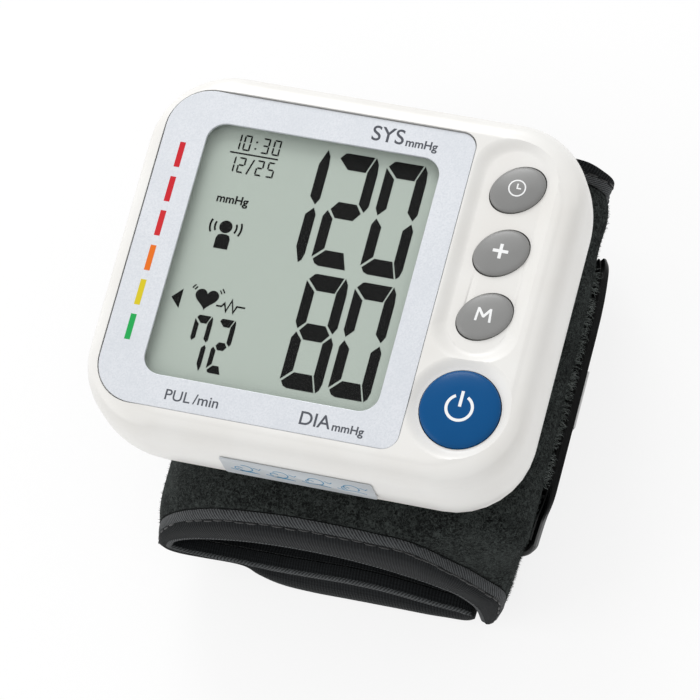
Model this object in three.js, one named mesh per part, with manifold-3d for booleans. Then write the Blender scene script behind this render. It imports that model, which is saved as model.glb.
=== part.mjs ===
// Wrist blood pressure monitor, cuff closed, resting on a table with the display up.
// Millimetres. +X is the display's right, +Y the display's top, +Z is up.
// The origin lies on the table, below the middle of the case.

import * as THREE from 'three'
import { mergeVertices } from 'three/addons/utils/BufferGeometryUtils.js'
import Module from 'manifold-3d'

const wasm = await Module()
wasm.setup()

// Sizes shared by every piece
const mergeTolerance = 1e-4
const overrun = 1            // how far a cutting tool runs past the face it cuts
const seatGap = 0.2          // between a rigid piece and the flat face that carries it
const runGap = 0.3           // round a piece that moves or is pushed in
const bearingGap = 0.06      // round a shaft or pin that turns or slides in its own hole
const clothGap = 0.2         // between two layers of the cuff
const roundSides = 24        // facets of a small round piece
const cornerSteps = 8        // facets of a rounded corner

// Case
const displayHeight = 62.5   // front face of the case above the table
const caseWidth = 76.6
const caseLength = 66
const caseCorner = 14
const leastCorner = 1
const shellWall = 1.8
const faceThickness = 2.6
const shoulderInset = 2.65
const shoulderDepth = 4.5
const backRise = 16.5        // height over which the wall curves in to the back
const backInset = 9
const partingDepth = 14.5
const shoulderShares = [0, 0.06, 0.25, 0.55, 1]
const backShares = [0, 0.25, 0.5, 0.75, 0.93, 1]

// Face plate, window and liquid crystal display
const panelLeftMargin = 2.9  // margins are measured from the case's left or right side
const panelRightMargin = 20.3
const panelBottom = -28.3
const panelTop = 28.9
const panelOuterCorner = 7.3
const panelInnerCorner = 2.7
const panelThickness = 0.6
const panelSink = 0.4        // face plate's front below the case's front
const windowLeftMargin = 10.4
const windowCentreY = 0.4
const windowRightMargin = 25.2
const windowLength = 46
const windowCorner = 3.3
const lensMargin = 1.2
const lensThickness = 1
const lcdMargin = 0.75
const lcdThickness = 2.4
const frameWall = 1.1
const frameCorner = 4
const zebraWidth = 2.2
const zebraEndShare = 0.08   // of the display's width that the contact strip leaves free at each end

// Main board and what is on it
const boardDepth = 8.5       // front of the board below the case's front
const boardThickness = 1.6
const boardMargin = 1.7
const switchSide = 6
const switchHeight = 1.25
const switchStemRadius = 1.2
const switchStemLength = 1.1
const switchBoreFloor = 0.12
const sensorSide = 7
const sensorHeight = 3
const buzzerRadius = 5.5
const buzzerHeight = 3.5
const buzzerShare = 0.641    // of half the case's width
const buzzerY = -1

// Buttons
const buttonMargin = 11.56
const smallButtonPitch = 11.5
const memoryButtonY = -2.4
const powerButtonY = -19.06
const smallButtonMajor = 4.95
const smallButtonMinor = 3.8
const smallButtonTurn = 40   // degrees from +X
const powerButtonRadius = 6.8
const buttonRise = 0.15      // crown above the case's front
const buttonCrown = 0.5      // crown's own height
const buttonEdge = 0.35
const flangeWidth = 0.6
const flangeThickness = 0.7
const buttonStemRadius = 1.6
const buttonGap = 0.3
const wellDepth = 0.9
const wellSlope = 0.9
const buttonWellLeftMargin = 18.7 // both from the case's right side
const buttonWellRightMargin = 6
const buttonWellBottom = -10.1
const buttonWellTop = 28.6
const powerWellMargin = 1.5

// Screws that hold the two casings together
const leftScrewY = 20
const rightScrewFarY = 14.5
const rightScrewNearY = -10.5
const screwRadius = 0.9
const screwHeadRadius = 1.9
const screwHeadHeight = 1.4
const screwPocket = 7.4      // from the case's back to the seat of the head
const screwLength = 10
const bossRadius = 1.9
const rearBossRadius = 2.9
const driveSlotWidth = 0.5
const driveSlotDepth = 0.6

// Batteries, their bay and its cover
const batteryRadius = 5.25
const batteryLengthShare = 0.5809 // of the case's width: an AAA cell's 44.5
const batteryTipRadius = 1.9
const batteryTipLength = 0.8
const batteryPitch = 10.9
const outerBatteryY = 23.6
const cellRoomFront = 1.25   // between the board and the cells
const cellRoomBack = 1.35    // between the cells and the back wall
const bayWall = 1.1
const contactThickness = 0.45
const contactSideShare = 0.72
const springLength = 1.8
const springRadius = 2.6
const coverWidthShare = 0.3077 // half the cover's width, of the case's width
const coverFrontDrop = 0.4   // cover's front edge below the level where the wall starts to curve
const coverBackRise = 2.8    // cover's back edge above the case's back
const coverStart = 25        // the cover is cut from the wall beyond this place along Y
const coverGripWidth = 12
const coverGripHeight = 0.8

// Air system
const airY = -17.5
const motorRadius = 6.1
const motorShare = 0.205     // lengths and places along X are shares of the case's width
const motorStartShare = -0.3667
const motorFlat = 5
const shaftRadius = 0.75
const shaftReachShare = 0.051
const crankRadius = 3
const crankThickness = 1.6
const headShare = 0.1538
const headSide = 12.4
const headCornerShare = 0.2
const crankRoom = 4.5
const stubRadius = 1.1
const stubLength = 2.6
const tubeRadius = 2.4
const tubeBore = 1.45
const nozzleShare = 0.1026
const valveStartShare = 0.218
const valveShare = 0.1538
const valveSide = 8.8
const armatureRadius = 1.1
const armatureLength = 4.5
const armatureOut = 1.5
const nozzleRadius = 2.5
const nozzleBore = 1.2
const nozzleFlangeRadius = 6
const nozzleFlangeThickness = 0.7

// Instruction sticker on the lower wall
const stickerLeftShare = -0.3205 // shares of half the case's width
const stickerRightShare = 0.3718
const stickerTopDepth = 5.6
const stickerBottomDepth = 12.4
const stickerThickness = 0.2
const stickerGap = 0.1
const stickerCorner = 0.5

// Cuff
const cuffWidth = 74.6
const cuffThickness = 11.5   // at the middle, below the case
const bindingWidth = 2.6
const bindingShrink = 0.3    // edge band thinner than the cuff's edge by this at each face
const velourThickness = 1.5
const liningThickness = 0.8
const formerThickness = 1.2
const pillowWidth = 6        // how far from its edge the cuff's cover starts to round off
const bladderMargin = 6.5
const formerMargin = 7
const foldCut = 0.3
const cuffScrewShare = 0.205 // of half the case's width
const cuffScrewY = 0
const cuffScrewLength = 8.5
const cuffScrewHeadHeight = 0.8
const cuffBossRadius = 2.6

// Course of the cuff from its short end, up the right, under the case and down to the fold.
// Each row holds X as a share of half the case's width and Z as a share of the cuff's top, for the
// outer face and the inner face at mid width, then for the outer and inner edge on the near side.
const upperShares = [
  [0.786, 0.172, 0.668, 0.225, 0.736, 0.075, 0.662, 0.118],
  [0.818, 0.308, 0.651, 0.338, 0.797, 0.270, 0.656, 0.316],
  [0.859, 0.483, 0.624, 0.418, 0.818, 0.450, 0.626, 0.389],
  [0.908, 0.684, 0.611, 0.499, 0.739, 0.606, 0.601, 0.440],
  [0.948, 0.831, 0.596, 0.534, 0.686, 0.692, 0.572, 0.469],
  [0.885, 0.954, 0.582, 0.568, 0.629, 0.756, 0.538, 0.493],
  [0.736, 1.000, 0.554, 0.606, 0.556, 0.845, 0.489, 0.523],
  [0.514, 1.000, 0.449, 0.650, 0.447, 0.936, 0.410, 0.560],
  [0.332, 1.000, 0.319, 0.681, 0.279, 0.965, 0.267, 0.622],
  [0.123, 1.000, 0.123, 0.692, 0.097, 0.979, 0.083, 0.665],
  [-0.087, 1.000, -0.087, 0.692, -0.099, 0.973, -0.099, 0.670],
  [-0.295, 1.000, -0.282, 0.684, -0.292, 0.936, -0.295, 0.646],
  [-0.517, 0.917, -0.441, 0.622, -0.483, 0.866, -0.464, 0.590],
  [-0.703, 0.745, -0.588, 0.520, -0.666, 0.724, -0.614, 0.520],
  [-0.815, 0.552, -0.691, 0.429, -0.786, 0.547, -0.713, 0.434],
  [-0.853, 0.354, -0.739, 0.354, -0.838, 0.354, -0.750, 0.354],
]

// Course of the flap from the fold to its free end, in the same way
const flapShares = [
  [-0.853, 0.354, -0.739, 0.354, -0.838, 0.354, -0.750, 0.354],
  [-0.833, 0.252, -0.723, 0.322, -0.812, 0.290, -0.733, 0.345],
  [-0.770, 0.206, -0.691, 0.308, -0.756, 0.262, -0.700, 0.335],
  [-0.634, 0.200, -0.621, 0.303, -0.634, 0.262, -0.621, 0.333],
  [-0.464, 0.187, -0.464, 0.308, -0.430, 0.262, -0.445, 0.333],
  [-0.374, 0.107, -0.361, 0.319, -0.381, 0.150, -0.361, 0.333],
  [-0.242, 0.027, -0.230, 0.332, -0.277, 0.040, -0.246, 0.335],
  [-0.139, 0.000, -0.112, 0.343, -0.130, 0.016, -0.112, 0.343],
  [0.070, 0.000, 0.070, 0.359, 0.070, 0.018, 0.070, 0.357],
  [0.253, 0.000, 0.253, 0.343, 0.253, 0.022, 0.253, 0.340],
  [0.410, 0.000, 0.410, 0.295, 0.410, 0.026, 0.410, 0.290],
  [0.501, 0.044, 0.501, 0.263, 0.501, 0.040, 0.501, 0.257],
  [0.598, 0.068, 0.598, 0.236, 0.596, 0.060, 0.596, 0.231],
  [0.642, 0.121, 0.632, 0.204, 0.637, 0.129, 0.629, 0.201],
]
const farEdgeShare = 0.2     // how much of the near edge's sag the far edge shows
const pillowShares = [[0, 1], [0.35, 0.42], [1, 0]]
const courseSteps = 2        // facets between two rows of a course

// Hook strap on the end of the flap
const strapNearShare = -0.3165 // shares of the cuff's width
const strapFarShare = 0.339
const strapThickness = 1.2
const strapCorner = 5.5
const strapBaseShare = 0.5013 // shares of half the case's width
const strapTurnShare = 0.671
const strapTurnReachShare = 0.1045
const strapBendReach = 3.5
const strapStartShare = 0.04 // where the strap starts and ends along the course of the cuff
const strapEndShare = 0.25
const strapSteps = 12
const strapBendSteps = 6
const hookThickness = 0.8
const hookMargin = 2.5
const hookStartShare = 0.2 // shares of the tip's steps
const hookEndShare = 0.75
const labelNear = -7.5
const labelFar = 3
const labelThickness = 0.4
const labelStartShare = 0.34 // shares of the tip's steps
const labelEndShare = 0.83

// Places worked out from the sizes
const halfWidth = caseWidth / 2
const halfLength = caseLength / 2
const boardBack = boardDepth + boardThickness
const batteryDepth = boardBack + cellRoomFront + batteryRadius
const innerBack = batteryDepth + batteryRadius + cellRoomBack
const caseDepth = innerBack + shellWall
const sideDepth = caseDepth - backRise
const airDepth = (boardBack + innerBack) / 2
const screwHeadDepth = caseDepth - screwPocket
const coverFrontDepth = sideDepth + coverFrontDrop
const coverBackDepth = caseDepth - coverBackRise
const coverHalfWidth = caseWidth * coverWidthShare
const panelLeft = panelLeftMargin - halfWidth
const panelRight = halfWidth - panelRightMargin
const windowLeft = windowLeftMargin - halfWidth
const windowRight = halfWidth - windowRightMargin
const windowCentreX = (windowLeft + windowRight) / 2
const windowWidth = windowRight - windowLeft
const frameMargin = lcdMargin + seatGap + frameWall
const screwX = seatGap + bossRadius + frameMargin - windowLeft
const buttonX = halfWidth - buttonMargin
const buttonWellLeft = halfWidth - buttonWellLeftMargin
const buttonWellRight = halfWidth - buttonWellRightMargin
const buzzerX = halfWidth * buzzerShare
const motorLength = caseWidth * motorShare
const motorStart = caseWidth * motorStartShare
const shaftReach = caseWidth * shaftReachShare
const headLength = caseWidth * headShare
const nozzleX = caseWidth * nozzleShare
const valveStart = caseWidth * valveStartShare
const valveLength = caseWidth * valveShare
const cuffScrewX = halfWidth * cuffScrewShare
const strapBaseX = halfWidth * strapBaseShare
const strapTurnX = halfWidth * strapTurnShare
const strapTurnReach = halfWidth * strapTurnReachShare
const cuffEdge = cuffWidth / 2
const strapNear = cuffWidth * strapNearShare
const strapFar = cuffWidth * strapFarShare
const sheetEdge = cuffEdge - bindingWidth - clothGap
const cuffTop = displayHeight - caseDepth - seatGap
const crownMiddle = cuffTop - cuffThickness / 2
const foldHeight = upperShares[upperShares.length - 1][1] * cuffTop
const buttonBase = faceThickness + seatGap
const batteryLength = caseWidth * batteryLengthShare
const batteryX = batteryLength / 2
const innerBatteryY = outerBatteryY - batteryPitch
const bayY = innerBatteryY - batteryRadius - runGap
const switchTop = boardDepth - switchHeight
const switchStemTop = boardDepth - switchBoreFloor - switchStemLength - wellDepth + runGap
const cuffScrewSeat = cuffTop - velourThickness - clothGap - formerThickness

const below = depth => displayHeight - depth

// Materials
const plastic = (colour, roughness = 0.5) => new THREE.MeshStandardMaterial({ color: colour, roughness, metalness: 0 })
const metal = (colour, roughness = 0.35) => new THREE.MeshStandardMaterial({ color: colour, roughness, metalness: 1 })
const finish = {
  casing: plastic('#e3e2df', 0.42),
  panel: plastic('#d9dfe3', 0.38),
  lens: plastic('#dfe6e4', 0.08),
  lcd: plastic('#afbab2', 0.25),
  white: plastic('#efefea', 0.6),
  rubber: plastic('#2b2d2e', 0.9),
  board: plastic('#2f6b45', 0.55),
  greyButton: plastic('#8b8b8b', 0.45),
  blueButton: plastic('#135e9b', 0.4),
  black: plastic('#26282a', 0.6),
  steel: metal('#b9bcbf'),
  brass: metal('#c8a45a'),
  tube: plastic('#d8d4c4', 0.7),
  battery: plastic('#39414a', 0.4),
  sticker: plastic('#c9d0d4', 0.45),
  velour: plastic('#3d4041', 1),
  nylon: plastic('#303335', 0.85),
  bladder: plastic('#4a4d55', 0.6),
  former: plastic('#c9c7c0', 0.6),
  foam: plastic('#6d7073', 1),
  strap: plastic('#1d1f20', 0.75),
  label: plastic('#e9e8e4', 0.8),
}

const part = new THREE.Group()

function add(name, geometry, material) {
  const mesh = new THREE.Mesh(geometry, material)
  mesh.name = name
  part.add(mesh)
}

// Closed solid through rings of equal count, with flat ends
function loft(rings, endOutline) {
  const count = rings[0].length
  const positions = rings.flat().flatMap(p => [p.x, p.y, p.z])
  const index = []
  for (let i = 0; i + 1 < rings.length; i++) {
    for (let j = 0; j < count; j++) {
      const a = i * count + j
      const b = i * count + (j + 1) % count
      index.push(a, b, b + count, a, b + count, a + count)
    }
  }
  const last = (rings.length - 1) * count
  const outlineArea = THREE.ShapeUtils.area(endOutline)
  for (const [a, b, c] of THREE.ShapeUtils.triangulateShape(endOutline, [])) {
    const faceArea = THREE.ShapeUtils.area([endOutline[a], endOutline[b], endOutline[c]])
    const [p, q] = faceArea * outlineArea > 0 ? [b, c] : [c, b]
    index.push(a, q, p, last + a, last + p, last + q)
  }
  const geometry = new THREE.BufferGeometry()
  geometry.setAttribute('position', new THREE.Float32BufferAttribute(positions, 3))
  geometry.setIndex(volumeOf(positions, index) < 0 ? index.reverse() : index)
  return geometry
}

function volumeOf(positions, index) {
  const at = k => new THREE.Vector3().fromArray(positions, k * 3)
  let sum = 0
  for (let i = 0; i < index.length; i += 3) {
    sum += at(index[i]).dot(at(index[i + 1]).cross(at(index[i + 2])))
  }
  return sum
}

// Stack of flat outlines, each with its own height
function stack(levels) {
  const rings = levels.map(({ outline, z }) => outline.map(p => new THREE.Vector3(p.x, p.y, z)))
  return loft(rings, levels[0].outline)
}

function prism(outline, z0, z1) {
  return stack([{ outline, z: z0 }, { outline, z: z1 }])
}

function block(x0, x1, y0, y1, z0, z1) {
  const geometry = new THREE.BoxGeometry(x1 - x0, y1 - y0, z1 - z0)
  return geometry.translate((x0 + x1) / 2, (y0 + y1) / 2, (z0 + z1) / 2)
}

// Rounded rectangle; corners in the order far right, far left, near left, near right
function roundedRect(x0, x1, y0, y1, corners, steps = cornerSteps) {
  const [farRight, farLeft, nearLeft, nearRight] = corners
  const arcs = [
    [x1 - farRight, y1 - farRight, farRight, 0],
    [x0 + farLeft, y1 - farLeft, farLeft, Math.PI / 2],
    [x0 + nearLeft, y0 + nearLeft, nearLeft, Math.PI],
    [x1 - nearRight, y0 + nearRight, nearRight, Math.PI * 3 / 2],
  ]
  return arcs.flatMap(([cx, cy, radius, start]) => Array.from({ length: steps + 1 }, (_, k) => {
    const angle = start + Math.PI / 2 * k / steps
    return new THREE.Vector2(cx + radius * Math.cos(angle), cy + radius * Math.sin(angle))
  }))
}

const evenRect = (x0, x1, y0, y1, corner, steps) => roundedRect(x0, x1, y0, y1, Array(4).fill(corner), steps)

function ellipse(cx, cy, major, minor, turn = 0, sides = roundSides) {
  return Array.from({ length: sides }, (_, k) => {
    const angle = 2 * Math.PI * k / sides
    const p = new THREE.Vector2(major * Math.cos(angle), minor * Math.sin(angle))
    return p.rotateAround(new THREE.Vector2(), THREE.MathUtils.degToRad(turn)).add(new THREE.Vector2(cx, cy))
  })
}

const circle = (cx, cy, radius, sides) => ellipse(cx, cy, radius, radius, 0, sides)

// Round rods along Z and along X
const post = (x, y, radius, z0, z1, sides) => prism(circle(x, y, radius, sides), z0, z1)

function rod(radius, x0, x1, y, z, sides = roundSides) {
  return post(0, 0, radius, x0, x1, sides).rotateY(Math.PI / 2).translate(0, y, z)
}

// Boolean work
function solid(geometry) {
  const bare = geometry.clone()
  bare.deleteAttribute('normal')
  bare.deleteAttribute('uv')
  const merged = mergeVertices(bare, mergeTolerance)
  const mesh = new wasm.Mesh({
    numProp: 3,
    vertProperties: new Float32Array(merged.attributes.position.array),
    triVerts: new Uint32Array(merged.index.array),
  })
  return new wasm.Manifold(mesh)
}

function shape(body) {
  const mesh = body.getMesh()
  const geometry = new THREE.BufferGeometry()
  geometry.setAttribute('position', new THREE.BufferAttribute(new Float32Array(mesh.vertProperties), 3))
  geometry.setIndex(new THREE.BufferAttribute(new Uint32Array(mesh.triVerts), 1))
  return geometry
}

const cutAll = (body, tools) => tools.reduce((left, tool) => left.subtract(solid(tool)), body)
const joinAll = (body, extras) => extras.reduce((sum, extra) => sum.add(solid(extra)), body)

// Outer form of the case
function insetAt(depth) {
  if (depth < shoulderDepth) {
    const t = 1 - depth / shoulderDepth
    return shoulderInset * (1 - Math.sqrt(1 - t * t))
  }
  if (depth < sideDepth) return 0
  const t = Math.min(1, (depth - sideDepth) / (caseDepth - sideDepth))
  return backInset * (1 - Math.sqrt(1 - t * t))
}

function caseOutline(depth, wall = 0) {
  const inset = insetAt(depth) + wall
  const corner = Math.max(leastCorner, caseCorner - inset)
  return evenRect(inset - halfWidth, halfWidth - inset, inset - halfLength, halfLength - inset, corner)
}

// Levels of the case between two depths, deepest first, pushed in by a wall
function caseBody(fromDepth, toDepth, wall = 0, reach = 0) {
  const depths = [
    ...shoulderShares.map(share => share * shoulderDepth),
    ...backShares.map(share => sideDepth + share * (caseDepth - sideDepth)),
  ]
  const inside = depths.filter(depth => depth > fromDepth && depth < toDepth)
  const levels = [fromDepth, ...inside, toDepth].map(depth => ({ outline: caseOutline(depth, wall), z: below(depth) }))
  if (reach) levels.push({ outline: levels[levels.length - 1].outline, z: below(toDepth + reach) })
  return stack(levels.reverse())
}

const screwPlaces = [
  [-screwX, leftScrewY],
  [screwX, rightScrewFarY],
  [-screwX, -leftScrewY],
  [screwX, rightScrewNearY],
]

const buttons = [
  { name: 'memory', y: memoryButtonY, major: smallButtonMajor, minor: smallButtonMinor },
  { name: 'plus', y: memoryButtonY + smallButtonPitch, major: smallButtonMajor, minor: smallButtonMinor },
  { name: 'clock', y: memoryButtonY + smallButtonPitch * 2, major: smallButtonMajor, minor: smallButtonMinor },
  { name: 'power', y: powerButtonY, major: powerButtonRadius, minor: powerButtonRadius },
]

const buttonOutline = ({ y, major, minor }, grow) => ellipse(buttonX, y, major + grow, minor + grow, smallButtonTurn)

const windowRect = (grow, corner) => evenRect(
  windowCentreX - windowWidth / 2 - grow, windowCentreX + windowWidth / 2 + grow,
  windowCentreY - windowLength / 2 - grow, windowCentreY + windowLength / 2 + grow, corner)

const panelOutline = grow => roundedRect(
  panelLeft - grow, panelRight + grow, panelBottom - grow, panelTop + grow,
  [panelInnerCorner + grow, panelOuterCorner + grow, panelOuterCorner + grow, panelInnerCorner + grow])

// Opening in the far wall that the battery cover closes
const coverBox = grow => block(
  -coverHalfWidth - grow, coverHalfWidth + grow, coverStart - grow, halfLength + overrun,
  below(coverBackDepth + grow), below(coverFrontDepth - grow))

// Front casing: tub with the recess for the face plate, wells for the buttons and screw bosses
function frontCasing() {
  const tub = solid(caseBody(0, partingDepth)).subtract(solid(caseBody(faceThickness, partingDepth, shellWall, overrun)))
  const bosses = screwPlaces.map(([x, y]) => post(
    x, y, bossRadius, below(partingDepth - seatGap), below(faceThickness - seatGap)))
  const screwHoles = screwPlaces.map(([x, y]) => post(
    x, y, screwRadius + runGap, below(partingDepth + overrun), below(screwHeadDepth - screwLength - runGap)))
  const wellFloor = below(wellDepth)
  const wellTop = below(-overrun)
  const slope = wellSlope * (wellDepth + overrun) / wellDepth
  const buttonWell = grow => evenRect(
    buttonWellLeft - grow, buttonWellRight + grow, buttonWellBottom - grow, buttonWellTop + grow,
    (buttonWellRight - buttonWellLeft) / 2 + grow)
  const powerWell = grow => circle(buttonX, powerButtonY, powerButtonRadius + powerWellMargin + grow)
  const wells = [buttonWell, powerWell].map(outline => stack([
    { outline: outline(-wellSlope), z: wellFloor }, { outline: outline(slope - wellSlope), z: wellTop }]))
  const holes = buttons.map(button => prism(buttonOutline(button, buttonGap), below(faceThickness + overrun), wellTop))
  const recess = prism(panelOutline(seatGap), below(panelSink + panelThickness + seatGap), wellTop)
  const windowMargin = Math.max(lensMargin, lcdMargin) + seatGap
  const window = prism(windowRect(windowMargin, leastCorner), below(faceThickness + overrun), wellTop)
  const body = cutAll(joinAll(tub, bosses), [...screwHoles, ...wells, ...holes, recess, window, coverBox(seatGap)])
  add('front_casing', shape(body), finish.casing)
}

// Rear casing: tub with the battery bay's walls, screw bosses and the cuff's bosses
function rearCasing() {
  const tub = solid(caseBody(partingDepth + seatGap, caseDepth)).subtract(
    solid(stack([
      { outline: caseOutline(innerBack, shellWall), z: below(innerBack) },
      { outline: caseOutline((innerBack + partingDepth) / 2, shellWall), z: below((innerBack + partingDepth) / 2) },
      { outline: caseOutline(partingDepth, shellWall), z: below(partingDepth) },
      { outline: caseOutline(partingDepth, shellWall), z: below(partingDepth - overrun) },
    ])))
  const bosses = screwPlaces.map(([x, y]) => post(
    x, y, rearBossRadius, below(caseDepth), below(partingDepth + seatGap)))
  const cuffBosses = [-cuffScrewX, cuffScrewX].map(x => post(
    x, cuffScrewY, cuffBossRadius, below(innerBack + seatGap), cuffScrewSeat + cuffScrewLength))
  const ribFoot = below(innerBack + seatGap)
  const ribTop = below(boardBack + runGap)
  const ribEnd = outerBatteryY
  const leftRib = batteryX + contactThickness + seatGap * 2
  const rightRib = batteryX + batteryTipLength + springLength + contactThickness + seatGap * 2
  const ribs = [
    block(-leftRib - bayWall, -leftRib, bayY - bayWall, ribEnd, ribFoot, ribTop),
    block(rightRib, rightRib + bayWall, bayY - bayWall, ribEnd, ribFoot, ribTop),
    block(-leftRib - bayWall, rightRib + bayWall, bayY - bayWall, bayY, ribFoot, ribTop),
  ]
  const envelope = solid(caseBody(0, caseDepth))
  const screwHoles = screwPlaces.flatMap(([x, y]) => [
    post(x, y, screwRadius + runGap, below(caseDepth + overrun), below(partingDepth - overrun)),
    post(x, y, screwHeadRadius + runGap, below(caseDepth + overrun), below(screwHeadDepth)),
  ])
  const cuffHoles = [-cuffScrewX, cuffScrewX].map(x => post(
    x, cuffScrewY, screwRadius + runGap, below(caseDepth + overrun), cuffScrewSeat + cuffScrewLength + overrun))
  const nozzleHole = post(nozzleX, airY, nozzleRadius + runGap, below(caseDepth + overrun), below(innerBack - overrun))
  const whole = joinAll(tub, [...bosses, ...cuffBosses, ...ribs]).intersect(envelope)
  add('rear_casing', shape(cutAll(whole, [...screwHoles, ...cuffHoles, nozzleHole, coverBox(seatGap)])), finish.casing)
}

// Battery cover: the piece of the far wall inside the opening, with a finger grip
function batteryCover() {
  const wall = solid(caseBody(0, caseDepth)).subtract(solid(stack([
    { outline: caseOutline(coverBackDepth, shellWall), z: below(coverBackDepth + overrun) },
    { outline: caseOutline((coverBackDepth + sideDepth) / 2, shellWall), z: below((coverBackDepth + sideDepth) / 2) },
    { outline: caseOutline(sideDepth, shellWall), z: below(sideDepth) },
    { outline: caseOutline(sideDepth, shellWall), z: below(sideDepth - overrun) },
  ])))
  const gripDepth = (sideDepth + coverFrontDepth) / 2 + coverGripHeight
  const grip = block(
    -coverGripWidth / 2, coverGripWidth / 2, halfLength - shellWall, halfLength + coverGripHeight / 2,
    below(gripDepth + coverGripHeight), below(gripDepth))
  add('battery_cover', shape(wall.intersect(solid(coverBox(0))).add(solid(grip))), finish.casing)
}

// Face plate, lens, display and its frame
function display() {
  const plate = solid(prism(panelOutline(0), below(panelSink + panelThickness), below(panelSink)))
  const opening = prism(windowRect(0, windowCorner), below(panelSink + panelThickness + overrun), below(-overrun))
  add('display_panel', shape(cutAll(plate, [opening])), finish.panel)

  const lensTop = panelSink + panelThickness + seatGap
  add('window_lens', prism(windowRect(lensMargin, windowCorner), below(lensTop + lensThickness), below(lensTop)), finish.lens)

  const frameTop = faceThickness + seatGap
  const lcdTop = lensTop + lensThickness + seatGap
  const lcdBack = lcdTop + lcdThickness
  add('lcd_panel', prism(windowRect(lcdMargin, leastCorner), below(lcdBack), below(lcdTop)), finish.lcd)

  const ring = solid(prism(windowRect(frameMargin, frameCorner), below(boardDepth - seatGap), below(frameTop)))
  const room = prism(windowRect(lcdMargin + seatGap, leastCorner), below(boardDepth), below(frameTop - overrun))
  add('lcd_frame', shape(cutAll(ring, [room])), finish.white)

  const zebraEnd = windowWidth * (1 - zebraEndShare * 2) / 2
  const zebraNear = windowCentreY - windowLength / 2
  add('zebra_strip', block(
    windowCentreX - zebraEnd, windowCentreX + zebraEnd, zebraNear, zebraNear + zebraWidth,
    below(boardDepth - seatGap), below(lcdBack + seatGap)), finish.rubber)
}

// Main board with notches round the screw bosses, and the pieces soldered to it
function mainBoard() {
  const inset = shellWall + boardMargin
  const outline = evenRect(
    inset - halfWidth, halfWidth - inset, inset - halfLength, halfLength - inset, caseCorner - inset)
  const notches = screwPlaces.map(([x, y]) => post(
    x, y, bossRadius + runGap, below(boardBack + overrun), below(boardDepth - overrun)))
  const cover = coverBox(seatGap + runGap)
  add('main_board', shape(cutAll(solid(prism(outline, below(boardBack), below(boardDepth))), [...notches, cover])), finish.board)

  for (const { name, y } of buttons) {
    const half = switchSide / 2
    const body = solid(block(buttonX - half, buttonX + half, y - half, y + half, below(boardDepth - seatGap / 2), below(switchTop)))
    const bore = post(
      buttonX, y, switchStemRadius + bearingGap, below(boardDepth - switchBoreFloor - seatGap / 2), below(switchTop - overrun))
    add(`${name}_switch`, shape(cutAll(body, [bore])), finish.black)
  }

  const half = sensorSide / 2
  const sensorTop = boardBack + seatGap
  const sensor = solid(block(
    nozzleX - half, nozzleX + half, airY - half, airY + half, below(sensorTop + sensorHeight), below(sensorTop)))
  const stub = post(nozzleX, airY, stubRadius, below(sensorTop + sensorHeight + stubLength / 2), below(sensorTop + seatGap))
  add('pressure_sensor', shape(joinAll(sensor, [stub])), finish.black)

  add('buzzer', post(buzzerX, buzzerY, buzzerRadius, below(sensorTop + buzzerHeight), below(sensorTop)), finish.black)
}

// Buttons, each on the stem of its switch
function pushButtons() {
  for (const button of buttons) {
    const top = -buttonRise
    const stem = circle(buttonX, button.y, buttonStemRadius)
    const flange = buttonOutline(button, flangeWidth)
    const levels = [
      { outline: stem, z: below(switchStemTop - seatGap) },
      { outline: stem, z: below(buttonBase + flangeThickness) },
      { outline: flange, z: below(buttonBase + flangeThickness) },
      { outline: flange, z: below(buttonBase) },
      { outline: buttonOutline(button, 0), z: below(buttonBase) },
      { outline: buttonOutline(button, 0), z: below(top + buttonCrown + buttonEdge) },
      { outline: buttonOutline(button, -buttonEdge), z: below(top + buttonCrown) },
      { outline: buttonOutline(button, -button.minor / 2), z: below(top) },
    ]
    add(`${button.name}_button`, stack(levels), button.name === 'power' ? finish.blueButton : finish.greyButton)
    add(`${button.name}_switch_stem`, post(
      buttonX, button.y, switchStemRadius, below(switchStemTop + switchStemLength), below(switchStemTop)), finish.brass)
  }
}

// Self-tapping screws of the case, heads towards the cuff
function caseScrews() {
  screwPlaces.forEach(([x, y], k) => {
    const seat = screwHeadDepth + seatGap / 2
    const head = circle(x, y, screwHeadRadius)
    const shank = circle(x, y, screwRadius)
    const screw = solid(stack([
      { outline: head, z: below(seat + screwHeadHeight) },
      { outline: head, z: below(seat) },
      { outline: shank, z: below(seat) },
      { outline: shank, z: below(seat - screwLength) },
    ]))
    const slot = block(
      x - screwHeadRadius, x + screwHeadRadius, y - driveSlotWidth / 2, y + driveSlotWidth / 2,
      below(seat + screwHeadHeight + overrun), below(seat + screwHeadHeight - driveSlotDepth))
    add(`case_screw_${k + 1}`, shape(cutAll(screw, [slot])), finish.steel)
  })
}

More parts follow.
